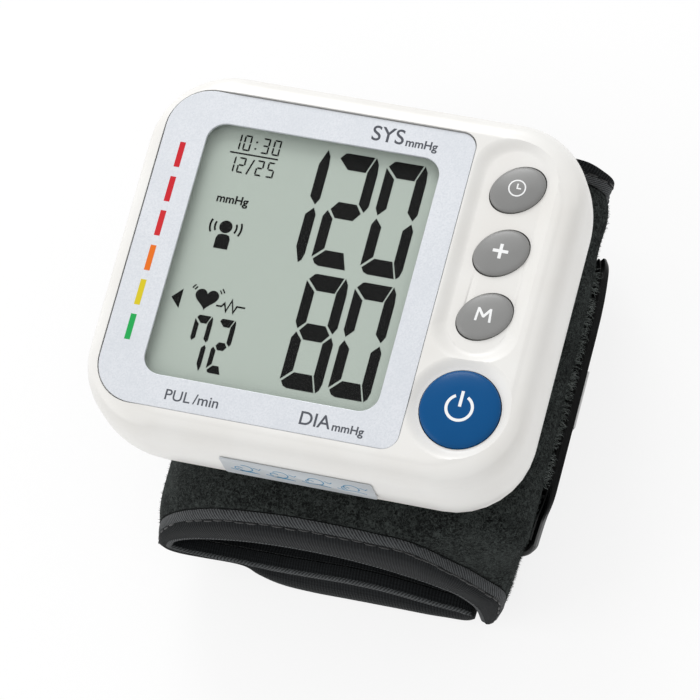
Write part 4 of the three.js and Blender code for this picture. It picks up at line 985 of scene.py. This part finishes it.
def solid_piece(name, points, faces):
    """A smooth closed piece from its points and faces, the faces turned outwards."""
    mesh = bpy.data.meshes.new(name)
    mesh.from_pydata([tuple(p) for p in points], [], faces)
    body = bmesh.new()
    body.from_mesh(mesh)
    bmesh.ops.recalc_face_normals(body, faces=body.faces)
    body.to_mesh(mesh)
    body.free()
    piece = new_piece(name, mesh)
    bpy.ops.object.shade_smooth()
    return piece


def loft(name, rings):
    """A closed solid through rings of points, with its own map in millimetres along and around."""
    count = len(rings[0])
    along, around = run_of([ring[0] for ring in rings]), run_of(rings[0] + rings[0][:1])
    points = [point for ring in rings for point in ring]
    skin = [
        (a * count + b, a * count + (b + 1) % count, (a + 1) * count + (b + 1) % count, (a + 1) * count + b)
        for a in range(len(rings) - 1) for b in range(count)]
    ends = [tuple(reversed(range(count))), tuple(range(len(points) - count, len(points)))]
    piece = solid_piece(name, points, skin + ends)
    layer = piece.data.uv_layers.new(name="cloth")
    for face in piece.data.polygons:
        turns = [v % count for v in face.vertices]
        wraps = max(turns) - min(turns) > count / 2 and face.index < len(skin)
        for loop, v, turn in zip(face.loop_indices, face.vertices, turns):
            layer.data[loop].uv = (along[v // count], around[-1 if wraps and turn == 0 else turn])
    return smooth(piece, 50)


def soft_ends(rings, first, last, reach):
    """Rounds the thickness of a piece's free ends; a ring's points are paired face to face."""
    def end(ring, beyond):
        step = min(end_limit, reach / max((ring[0] - beyond[0]).length, 1e-3))
        made = []
        for k in end_shares:
            share = 1 - max(end_least, math.sqrt(1 - (1 - k) ** 2))
            moved = [a.lerp(b, step * k) for a, b in zip(ring, beyond)]
            made.append([a.lerp((a + b) / 2, share) for a, b in zip(moved, moved[::-1])])
        return made

    start = end(rings[0], rings[1]) if first else rings[:1]
    close = end(rings[-1], rings[-2])[::-1] if last else rings[-1:]
    return start + rings[1:-1] + close


def across_cuff():
    """Places across the cuff, closer together towards its edges."""
    near = [seam_y - pillow * share ** pillow_crowding for share in pillow_shares]
    middle = [near[-1] - k * (near[-1] * 2) / middle_steps for k in range(1, middle_steps)]
    return [-y for y in near] + [-y for y in middle] + near[::-1]


def pucker(at, y, run, depth):
    """How far the cloth stands in or out: soft unevenness, and gathers that die away from the seam."""
    soft = noise.noise(at / soft_size) * soft_relief
    wander = gather_wander * noise.noise(Vector((run / wander_along, y / wander_across, 0)))
    gather = math.sin(run * math.tau / gather_pitch + wander) * math.exp((abs(y) - seam_y) / gather_fade)
    return min(0, soft - soft_sink + gather_relief * gather) * depth


def cloth_sheet(name, stops, outer_depth, inner_depth, from_inner, relief, first, last):
    """A layer of the cuff between two depths; relief is how much of the unevenness it shows."""
    places = across_cuff()
    rings = []
    for stop, length in zip(stops, lengths(stops)):
        face = []
        for y in places:
            point = in_cuff(stop, y, outer_depth, from_inner)
            outer, inner = faces_at(stop, y)
            way = (inner - outer).normalized() * (-1 if from_inner else 1)
            face.append(point - Vector((way.x, 0, way.y)) * pucker(point, y, length, relief))
        rings.append(face + [in_cuff(stop, y, inner_depth, from_inner) for y in reversed(places)])
    return loft(name, soft_ends(rings, first, last, cloth_end))


def profiles(count, start, end, reach):
    """One section for each stop, changing from the first to the second over a share of the course."""
    shares = [min(1, k / (count * reach)) if reach else 0 for k in range(count)]
    return [
        [tuple(p + (q - p) * share for p, q in zip(a, b)) for a, b in zip(start, end)] for share in shares]


def band_ring(stop, way, profile):
    """The band's section at a stop, in the plane square to the cuff's course."""
    start = way * (seam_y + layer_gap)
    outer, inner = (in_cuff(stop, way * seam_y, band_thinner, turned) for turned in (False, True))
    fill = ramp_up((outer - inner).length, thin_cuff, thick_cuff)
    # The far band stands up a little more where it turns down past the case's corner
    rise = max(0, (outer - inner).normalized().z) ** 3
    rise *= 1 + corner_lift * ramp_up(outer.x, corner_from, corner_full)
    ring = []
    for out, down, groove in profile:
        point = outer.lerp(inner, down * rise if down < 0 else down)
        point.y = start + way * (out - groove * fill) * binding
        ring.append(point)
    return ring


def edge_band(name, stops, way, sections, first, last):
    rings = []
    for stop, length, section in zip(stops, lengths(stops), sections):
        ring = band_ring(stop, way, section)
        middle = sum(ring, Vector()) / len(ring)
        swell = 1 + band_swell * noise.noise(Vector((length / swell_length, way * 7, 3)))
        rings.append([
            Vector((middle.x + (p.x - middle.x) * swell, p.y, middle.z + (p.z - middle.z) * swell))
            for p in ring])
    return loft(name, soft_ends(rings, first, last, band_end))


def round_band(ring, distance):
    """Point on the band's section a distance from its outer start, or from its inner end if negative."""
    points = ring if distance >= 0 else ring[::-1]
    left = abs(distance)
    for a, b in zip(points, points[1:]):
        if left <= (b - a).length:
            break
        left -= (b - a).length
    lie = (b - a).normalized()
    centre = sum(ring, Vector()) / len(ring)
    out = a - centre - lie * (a - centre).dot(lie)
    return a + lie * left, out.normalized()


def tape(name, stops, way, sections, start, width, first, last):
    """Narrow tape that follows the band's section from a start, thin at both its edges."""
    rings = []
    for stop, section in list(zip(stops, sections))[int(first):len(stops) - int(last)]:
        ring = band_ring(stop, way, section)
        tops, roots = [], []
        for k in range(tape_steps + 1):
            at, out = round_band(ring, math.copysign(abs(start) + width * k / tape_steps, start))
            full = math.sqrt(max(0, 1 - (k / tape_steps * 2 - 1) ** 2))
            tops.append(at + out * (tape_hem + tape_height * full))
            roots.append(at - out * tape_sink)
        rings.append(tops + roots[::-1])
    return loft(name, rings)


def add_spindle(points, faces, centres, sides, wide, thick, start=0):
    """Adds a thin bar through centres with a radius each to a mesh in the making."""
    base = len(points)
    last = base + sides * (len(centres) - 1)
    for centre, radius in centres:
        for turn in range(sides):
            angle = math.tau * (turn + start) / sides
            points.append(centre + (wide * math.cos(angle) + thick * math.sin(angle)) * radius)
    for a in range(base, last, sides):
        for k in range(sides):
            b = a + (k + 1) % sides
            faces.append((a + k, b, b + sides, a + k + sides))
    faces += [tuple(range(base + sides - 1, base - 1, -1)), tuple(range(last, last + sides))]


def stitches(name, stops, way, sections):
    """A row of thread stitches along the band, a distance round its section."""
    run = lengths(stops)
    points, faces = [], []
    at = stitch_pitch
    while at < run[-1] - stitch_pitch:
        k = max(i for i in range(len(run) - 1) if run[i] <= at)
        share = (at - run[k]) / max(run[k + 1] - run[k], 1e-6)
        wander = stitch_wander * math.sin(at * stitch_turn)
        (one, lift), (two, _) = (
            round_band(band_ring(stops[j], way, sections[j]), stitch_start + wander) for j in (k, k + 1))
        along = (two - one).normalized()
        centres = [
            (one.lerp(two, share) + along * (on * stitch_length) + lift * (stitch_lift * (1 - abs(on) * 2)),
             stitch_thread * fat / 2)
            for on, fat in stitch_form]
        add_spindle(points, faces, centres, 5, along.cross(lift), lift)
        at += stitch_pitch
    return solid_piece(name, points, faces)


def pile(name, stops, count):
    """Loose fibre ends standing on the velour, each a thin three-sided spike with a bent tip."""
    chance = random.Random(pile_seed)
    run = lengths(stops)
    points, faces = [], []
    for _ in range(count):
        at = chance.uniform(0, len(stops) - 1.001)
        k = int(at)
        y = chance.uniform(pile_margin - seam_y, seam_y - pile_margin)
        foot = in_cuff(stops[k], y, 0).lerp(in_cuff(stops[k + 1], y, 0), at - k)
        outer, inner = faces_at(stops[k], y)
        way = (outer - inner).normalized()
        up = Vector((way.x, 0, way.y))
        foot += up * pucker(foot, y, run[k] + (run[k + 1] - run[k]) * (at - k), 1)
        drift = Vector([chance.gauss(0, pile_lean) for _ in range(3)])
        long = chance.uniform(pile_shortest, pile_longest)
        tip = foot + (up + drift).normalized() * long
        if min(tip.z, foot.z) < pile_floor:
            continue
        spread = up.orthogonal().normalized()
        third = up.cross(spread)
        base = len(points)
        for turn in range(3):
            angle = math.tau * turn / 3 + long * 9
            points.append(
                foot - up * pile_depth + (spread * math.cos(angle) + third * math.sin(angle)) * pile_root)
        points.append(tip)
        faces += [(base, base + 1, base + 3), (base + 1, base + 2, base + 3), (base + 2, base, base + 3),
                  (base + 2, base + 1, base)]
    return solid_piece(name, points, faces)


def velour_cloth(name, dark, light):
    """Polyester loop velour: matt and near black, with small light flecks in its colour: lighter fibres, and
    painted highlights where its loops would catch light.
    """
    cloth, place = new_material(
        name, Roughness=0.95, Specular_IOR_Level=0.12, Sheen_Weight=0.1, Sheen_Roughness=0.45,
        Sheen_Tint=linear("#9AA19F"))
    loops = add_node(
        cloth, "TexNoise", Vector=place, Scale=1 / (0.6 * MM), Detail=4, Roughness=0.7, Distortion=1.5)
    brushed = add_node(cloth, "TexNoise", Vector=place, Scale=1 / (7 * MM), Detail=3)
    # Light flecks in the colour: partly lighter fibres, partly painted highlights on the loop tops
    both = add_node(cloth, "Math", brushed, 0.2, loops, operation="MULTIPLY_ADD")
    return surface(
        cloth, Base_Color=add_node(cloth, "ValToRGB", Fac=both, ramp=((0.52, dark), (0.73, light))),
        Normal=add_node(cloth, "Bump", Height=loops, Strength=0.9, Distance=0.35 * MM))


def cloth_map(material):
    """Place along and around a lofted piece, on its own map."""
    return add_node(material, "SeparateXYZ", add_node(material, "UVMap", uv_map="cloth"))


velour = velour_cloth("loop_velour", "#080A0A", "#3E4341")
loose_fibre = velour_cloth("loose_velour_fibre", "#2B302E", "#5D6462")
# Spun polyester thread: dull black, its twist just showing.
thread = one_colour("black_thread", "#0B0C0D", 0.2, 0.4, 0.03, Roughness=0.6, Sheen_Weight=0.2)

# Warp-knitted nylon: fine raised ribs across the length, with little shine.
nylon, place = new_material(
    "ribbed_nylon", Roughness=0.75, Specular_IOR_Level=0.12, Sheen_Weight=0.03, Sheen_Roughness=0.4)
run = cloth_map(nylon)
weave = add_node(
    nylon, "Math", wave(nylon, run.outputs["Y"], course_pitch), 0.3, wave(nylon, run, rib_pitch),
    operation="MULTIPLY_ADD")
worn = add_node(nylon, "TexNoise", Vector=place, Scale=1 / (1.6 * MM), Detail=4)
height = add_node(nylon, "Math", worn, 1.5, weave, operation="MULTIPLY_ADD")
level = add_node(nylon, "MapRange", Value=height, From_Min=-1, From_Max=2.4)
surface(
    nylon, Base_Color=add_node(nylon, "ValToRGB", Fac=level, ramp=((0, "#060708"), (1, "#202325"))),
    Normal=add_node(nylon, "Bump", Height=weave, Strength=0.6, Distance=0.09 * MM))

# Narrow overlocked tape: slanting threads that lighten the seam.
seam_tape, place = new_material("overlock_tape", Roughness=0.8, Specular_IOR_Level=0.2, Sheen_Weight=0.1)
run = cloth_map(seam_tape)
lean = add_node(seam_tape, "Math", run.outputs["Y"], 0.9, run, operation="MULTIPLY_ADD")
fluff = add_node(seam_tape, "TexNoise", Vector=place, Scale=1 / (0.5 * MM), Detail=3)
mixed = add_node(seam_tape, "Math", fluff, 1.6, wave(seam_tape, lean, braid_pitch), operation="MULTIPLY_ADD")
level = add_node(seam_tape, "MapRange", Value=mixed, From_Min=-0.5, From_Max=2.2)
surface(
    seam_tape, Base_Color=add_node(seam_tape, "ValToRGB", Fac=level, ramp=((0, "#121314"), (1, "#5A5D5F"))),
    Normal=add_node(seam_tape, "Bump", Height=mixed, Strength=0.7, Distance=0.12 * MM))

all_stops = {
    "upper": course(upper_rows, 0, fold_row),
    "flap": course(upper_rows, fold_row, last_upper) + course(flap_rows, 0, last_flap)[1:]}


def sewn(piece, material, slot, where, *nodes):
    """A finished cloth piece: on the upper cuff it rides the monitor; round the fold it rides no body and its
    place is put into its mesh.
    """
    finish(piece, material, "monitor" if where == "upper" else None, slot, *nodes)
    if where == "flap":
        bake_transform(piece)
    return piece


for where, stops in all_stops.items():
    ends = (where == "upper", where == "flap")
    cloth = cloth_sheet(f"{where}_velour", stops, 0, velour_depth, False, 1, *ends)
    sewn(cloth, velour, "velour", where, f"velour_{where}")
    cloth = cloth_sheet(f"{where}_lining", stops, 0, lining_depth, True, lining_relief, *ends)
    sewn(cloth, nylon, "nylon", where, f"lining_{where}")
    for edge, way, shape in (("near", -1, near_profile), ("far", 1, far_profile)):
        title = f"{where}_{edge}"
        sections = profiles(len(stops), shape, flap_profile, profile_change if where == "flap" else 0)
        band_run = (stops, way, sections)
        band = edge_band(f"{title}_band", *band_run, *ends)
        sewn(band, nylon, "nylon", where, f"{edge}_band_{where}")
        for kind, start, width in (
                ("seam", seam_tape_start, seam_tape_width), ("rim", rim_tape_start, rim_tape_width)):
            sewn(tape(f"{title}_{kind}_tape", *band_run, start, width, *ends), seam_tape, "nylon", where)
        sewn(stitches(f"{title}_stitches", *band_run), thread, "nylon", where)
    sewn(pile(f"{where}_pile", stops, pile_counts[where]), loose_fibre, "velour", where)

# Closure strap. Black moulded hook tape on a smooth woven backing: a short base sewn under the
# flap's free end, and a long tip that grips the velour. A blank paper label is stuck on it.
strap_near, strap_far = -cuff_width * 0.3165, cuff_width * 0.339
strap_thickness, hook_height = 1.2, 0.8
strap_corner, strap_edge = 5.5, 0.3
strap_first, strap_last = 0.04 * last_upper, 0.25 * last_upper
strap_low = layer_gap * 2 + hook_height
strap_steps, strap_across = 48, 14
strap_shares = [math.sin(k / strap_steps * math.pi / 2) for k in range(strap_steps + 1)]
strap_stops = course(upper_rows, strap_first, strap_last, strap_shares)
strap_run = lengths(strap_stops)
thread_pitch = 0.7


def strap_inset(k):
    """How far the tip's round corners draw its sides in at a stop."""
    left = max(0, strap_corner - (strap_run[-1] - strap_run[k]))
    return strap_corner - math.sqrt(max(0, strap_corner ** 2 - left ** 2))


def off_face(before, after):
    """The way out from a face, square to a run along it."""
    way = after - before
    return Vector((way.z, 0, -way.x)).normalized()


def strap_place(k, y, height):
    """A point above the velour at a stop of the strap."""
    here, before, after = (
        in_cuff(strap_stops[min(strap_steps, max(0, stop))], y, 0) for stop in (k, k - 1, k + 1))
    return here + off_face(before, after) * height


def strap_section(near, far, half):
    """Places across the strap, closer together towards its edges, and half its thickness at each."""
    section = []
    for k in range(strap_across + 1):
        y = near + (far - near) * (0.5 - 0.5 * math.cos(k / strap_across * math.pi))
        inside = min(1, min(y - near, far - y) / half)
        section.append((y, half * math.sqrt(max(strap_edge ** 2, 1 - (1 - inside) ** 2))))
    return section


def strap_layer(name, near, far, low, high, first=0, last=strap_steps, inset=0, corners=1):
    """A layer of the strap between two heights, its long edges rounded."""
    middle, half = (low + high) / 2, (high - low) / 2
    rings = []
    for k in range(first, last + 1):
        edge = inset + corners * strap_inset(k)
        section = strap_section(near + edge, far - edge, half)
        rings.append(
            [strap_place(k, y, middle - thick) for y, thick in section]
            + [strap_place(k, y, middle + thick) for y, thick in section[::-1]])
    return loft(name, rings)


# Calendered nylon tape: close lengthwise threads under a smooth, slightly shining face.
strap_cloth, place = new_material("calendered_nylon_strap", Roughness=0.4, Specular_IOR_Level=0.15)
line = wave(strap_cloth, cloth_map(strap_cloth).outputs["Y"], thread_pitch)
scuff = add_node(strap_cloth, "TexNoise", Vector=place, Scale=1 / (3 * MM), Detail=5)
tone = add_node(strap_cloth, "ValToRGB", Fac=scuff, ramp=((0, "#050606"), (1, "#0D0E0F")))
surface(
    strap_cloth, Base_Color=tone,
    Normal=add_node(strap_cloth, "Bump", Height=line, Strength=0.3, Distance=0.05 * MM))
strap_tip = strap_layer("strap_tip", strap_near, strap_far, strap_low, strap_low + strap_thickness)
finish(strap_tip, strap_cloth, "strap", "strap", "hook_strap")

# Base of the strap. The same woven nylon tape, cut to the tip's width; it is sewn flat under the
# flap's free end and bends up to meet the tip.
base_start, base_turn, base_reach = (share * half_width for share in (0.5013, 0.671, 0.1045))
base_bend, base_lift, base_steps = 3.5, 0.02, 18
half = strap_thickness / 2
rings = [[] for _ in range(base_steps + 2)]
for y, thick in strap_section(strap_near, strap_far, half):
    tip_end, beyond = (strap_place(k, y, strap_low + half) for k in (0, 3))
    back = (tip_end - beyond).normalized()
    end = tip_end + back * seat
    start, turn = (Vector((x, y, half + base_lift)) for x in (base_start, base_turn))
    path = [start] + geometry.interpolate_bezier(
        turn, turn + Vector((base_reach, 0, 0)), end + back * base_bend, end, base_steps + 1)
    # Each ring grows from its middle: out along the upper face and back along the lower one
    for ring, point, before, after in zip(rings, path, path[:1] + path, path[1:] + path[-1:]):
        side = off_face(before, after) * thick
        ring.insert(len(ring) // 2, point - side)
        ring.insert(len(ring) // 2, point + side)
finish(loft("strap_foot", rings), strap_cloth, "flap", "strap", "strap_base")

# Hook field. Moulded nylon hooks on a thin backing, welded to the strap's inner face; the outermost
# ones pull single fibres out of the velour.
hook_pitch, hook_shaft, hook_stray, hook_seed = 1.15, 0.13, 0.15, 5
hook_floor, hook_depth, hook_margin, field_margin, field_gap = 0.5, 0.36, 3, 0.35, 0.04
hook_first, hook_last = round(strap_steps * 0.08), round(strap_steps * 0.9)
# Share of a pulled fibre's length, and of its thickness there
pulled_form = [(0, 1), (0.35, 0.9), (0.7, 0.75), (1, 0.4)]
pulled_tries, pulled_root, pulled_margin = 420, 0.055, 1
wide, deep = Vector((0, 1, 0)), Vector((1, 0, 0))

# Moulded nylon for the hooks: near black and almost without shine.
hook_nylon = moulded_plastic(
    "moulded_hook_nylon", "#080909", "#050606", 0.6, 0.3, 0.01, Specular_IOR_Level=0.1)
patch = strap_layer(
    "hook_field", strap_near, strap_far, hook_floor, strap_low - field_gap, hook_first, inset=field_margin)
finish(patch, hook_nylon, "strap", "hook", "hook_patch")
chance = random.Random(hook_seed)
points, faces = [], []
hook_y = strap_near + hook_margin
while hook_y < strap_far - hook_margin:
    for k in range(hook_first + 2, hook_last, 2):
        foot = strap_place(k, hook_y + chance.uniform(-hook_stray, hook_stray), hook_floor + 0.02)
        tip = strap_place(k, hook_y, hook_floor - hook_depth)
        down = (tip - foot).normalized()
        along = wide.cross(down)
        bends = ((foot - down * 0.1, 1.3), (foot.lerp(tip, 0.7), 0.9), (tip + along * 0.22, 0.6))
        add_spindle(points, faces, [(centre, hook_shaft * fat) for centre, fat in bends], 4, wide, along, 0.5)
    hook_y += hook_pitch
finish(solid_piece("hooks", points, faces), hook_nylon, "strap", "hook")

points, faces = [], []
for _ in range(pulled_tries):
    k = round(strap_steps - 1 - abs(chance.gauss(0, 1.5)))
    y = chance.uniform(strap_near + pulled_margin, strap_far - pulled_margin)
    inset = strap_inset(k)
    if not strap_near + inset < y < strap_far - inset:
        continue
    foot = strap_place(k, y, -0.2) + Vector((0, chance.uniform(-0.4, 0.4), chance.uniform(0, 1.4)))
    tip = strap_place(k, y, chance.uniform(0.6, 1.5))
    tip += Vector((0, chance.gauss(0, 0.5), chance.uniform(0.2, 1.3)))
    sway = Vector((0, chance.gauss(0, 0.25), chance.uniform(0, 0.4)))
    bends = [
        (foot.lerp(tip, share) + sway * math.sin(share * math.pi), pulled_root * fat)
        for share, fat in pulled_form]
    add_spindle(points, faces, bends, 3, deep, wide)
# Pulled out straight, the velour's fibre catches more light than in the pile; that light is painted into its
# colour as a lighter copy of the velour.
painted_lit_fibre = velour_cloth("pulled_velour_fibre_painted_lighter", "#59605D", "#9AA19E")
finish(solid_piece("pulled_fibres", points, faces), painted_lit_fibre, "monitor", "velour")

# Label. Blank glossy paper, a little cockled, cut to a small patch and stuck on the middle of the
# strap with its own adhesive.
label_near, label_far, label_thickness, label_gap = -7.5, 3, 0.3, 0.05
label_first, label_last = round(strap_steps * 0.34), round(strap_steps * 0.83)
label_foot = strap_low + strap_thickness + label_gap
paper_label = one_colour(
    "glossy_label_paper", "#E4E5E4", 3, 0.3, 0.12, 3, Roughness=0.35, Coat_Weight=0.3, Coat_Roughness=0.2)
label_patch = strap_layer(
    "blank_label", label_near, label_far, label_foot, label_foot + label_thickness, label_first, label_last,
    corners=0)
finish(label_patch, paper_label, "strap", "label", "strap_label")

# Filling. A bladder of thermoplastic polyurethane film, welded round its edge, lies under the
# former; a pad of soft foam fills the flap.
fill_reach, fill_gap, bladder_depth = seam_y - 6.5, 0.3, 4.45
pad_steps, wrinkle_size, wrinkle_depth = 14, 5, 0.06


def filled_pad(name, stops, outer_depth, hem, least):
    """A crowned pad down to the lining, its faces drawing together towards every side."""
    places = [fill_reach * math.sin((k / pad_steps - 1) * math.pi / 2) for k in range(pad_steps + 1)]
    places += [-y for y in places[-2::-1]]
    run = lengths(stops)
    rings = []
    for stop, length in zip(stops, run):
        end = min(1, min(length, run[-1] - length) / hem)
        face, back = [], []
        for y in places:
            side = min(1, (fill_reach - abs(y)) / hem)
            full = max(least, math.sqrt(math.sin(end * math.pi / 2) * math.sin(side * math.pi / 2)))
            a, b = in_cuff(stop, y, outer_depth), in_cuff(stop, y, lining_depth + fill_gap, True)
            middle = a.lerp(b, 0.5)
            full *= 1 - wrinkle_depth * abs(noise.noise(middle / wrinkle_size))
            face.append(middle.lerp(a, full))
            back.append(middle.lerp(b, full))
        rings.append(face + back[::-1])
    return loft(name, rings)


# Polyurethane film: dark grey with a soft shine.
film_skin = moulded_plastic("polyurethane_film", "#50545C", "#444850", 0.42, 1.4, 0.05)
stops = course(upper_rows, last_upper * 0.15, last_upper * 0.85)
bladder = filled_pad("bladder", stops, bladder_depth, 5, 0.08)
finish(bladder, film_skin, "monitor", "bladder", "air_bladder")
# Open-cell foam: mid grey and quite dull, pitted by its cells.
foam_skin = moulded_plastic("open_cell_foam", "#7A7D80", "#63666A", 0.95, 0.5, 0.12)
stops = course(flap_rows, last_flap * 0.44, last_flap * 0.92)
foam_pad = filled_pad("foam_pad", stops, velour_depth + fill_gap, 3, 0.3)
finish(foam_pad, foam_skin, "flap", "foam", "flap_foam")

# Table top. A plain sheet of white paper, wide enough to reach past the picture on every side;
# seen directly or mirrored it is nearly pure white, and still holds the monitor's soft shadow.
paper_glow, sheet_size, sheet_drop = 0.82, 4, 0.0002
bpy.ops.object.select_all(action="DESELECT")
bpy.ops.mesh.primitive_plane_add(size=sheet_size, location=(0, 0, -sheet_drop))
floor = bpy.context.object
floor.name = "table_top"
paper = new_material("white_paper", Base_Color=linear("#FCFCFC"), Roughness=0.9)[0]
rays = add_node(paper, "LightPath").outputs
seen = add_node(paper, "Math", rays["Is Camera Ray"], rays["Is Glossy Ray"], operation="ADD")
seen = add_node(paper, "Math", seen, rays["Is Transmission Ray"], operation="ADD", use_clamp=True)
share = add_node(paper, "Math", seen, paper_glow, operation="MULTIPLY")
white = add_node(paper, "Emission", Strength=1)
blend = add_node(paper, "MixShader", share, paper.node_tree.nodes["Principled BSDF"], white)
plug(paper.node_tree.nodes["Material Output"], {"Surface": blend})
floor.data.materials.append(paper)

# Light. A white studio all round, a soft lamp behind on the left and a weaker one in front.
lamp_aim = Vector((0, 0, 0.04))
world = bpy.data.worlds.new("studio")
bpy.context.scene.world = world
world.use_nodes = True
plug(world.node_tree.nodes["Background"], {"Color": (1, 1, 1, 1), "Strength": 0.76})
for name, place, size, power in (
        ("key_lamp", (-0.6, 1.45, 1.1), 0.8, 14), ("fill_lamp", (-1.3, -0.7, 1.0), 1, 6)):
    lamp = bpy.data.lights.new(name, "AREA")
    lamp.size, lamp.energy = size, power
    holder = new_piece(name, lamp)
    holder.location = place
    holder.rotation_euler = (Vector(place) - lamp_aim).to_track_quat("Z", "Y").to_euler()
bpy.context.scene.view_settings.view_transform = "Standard"
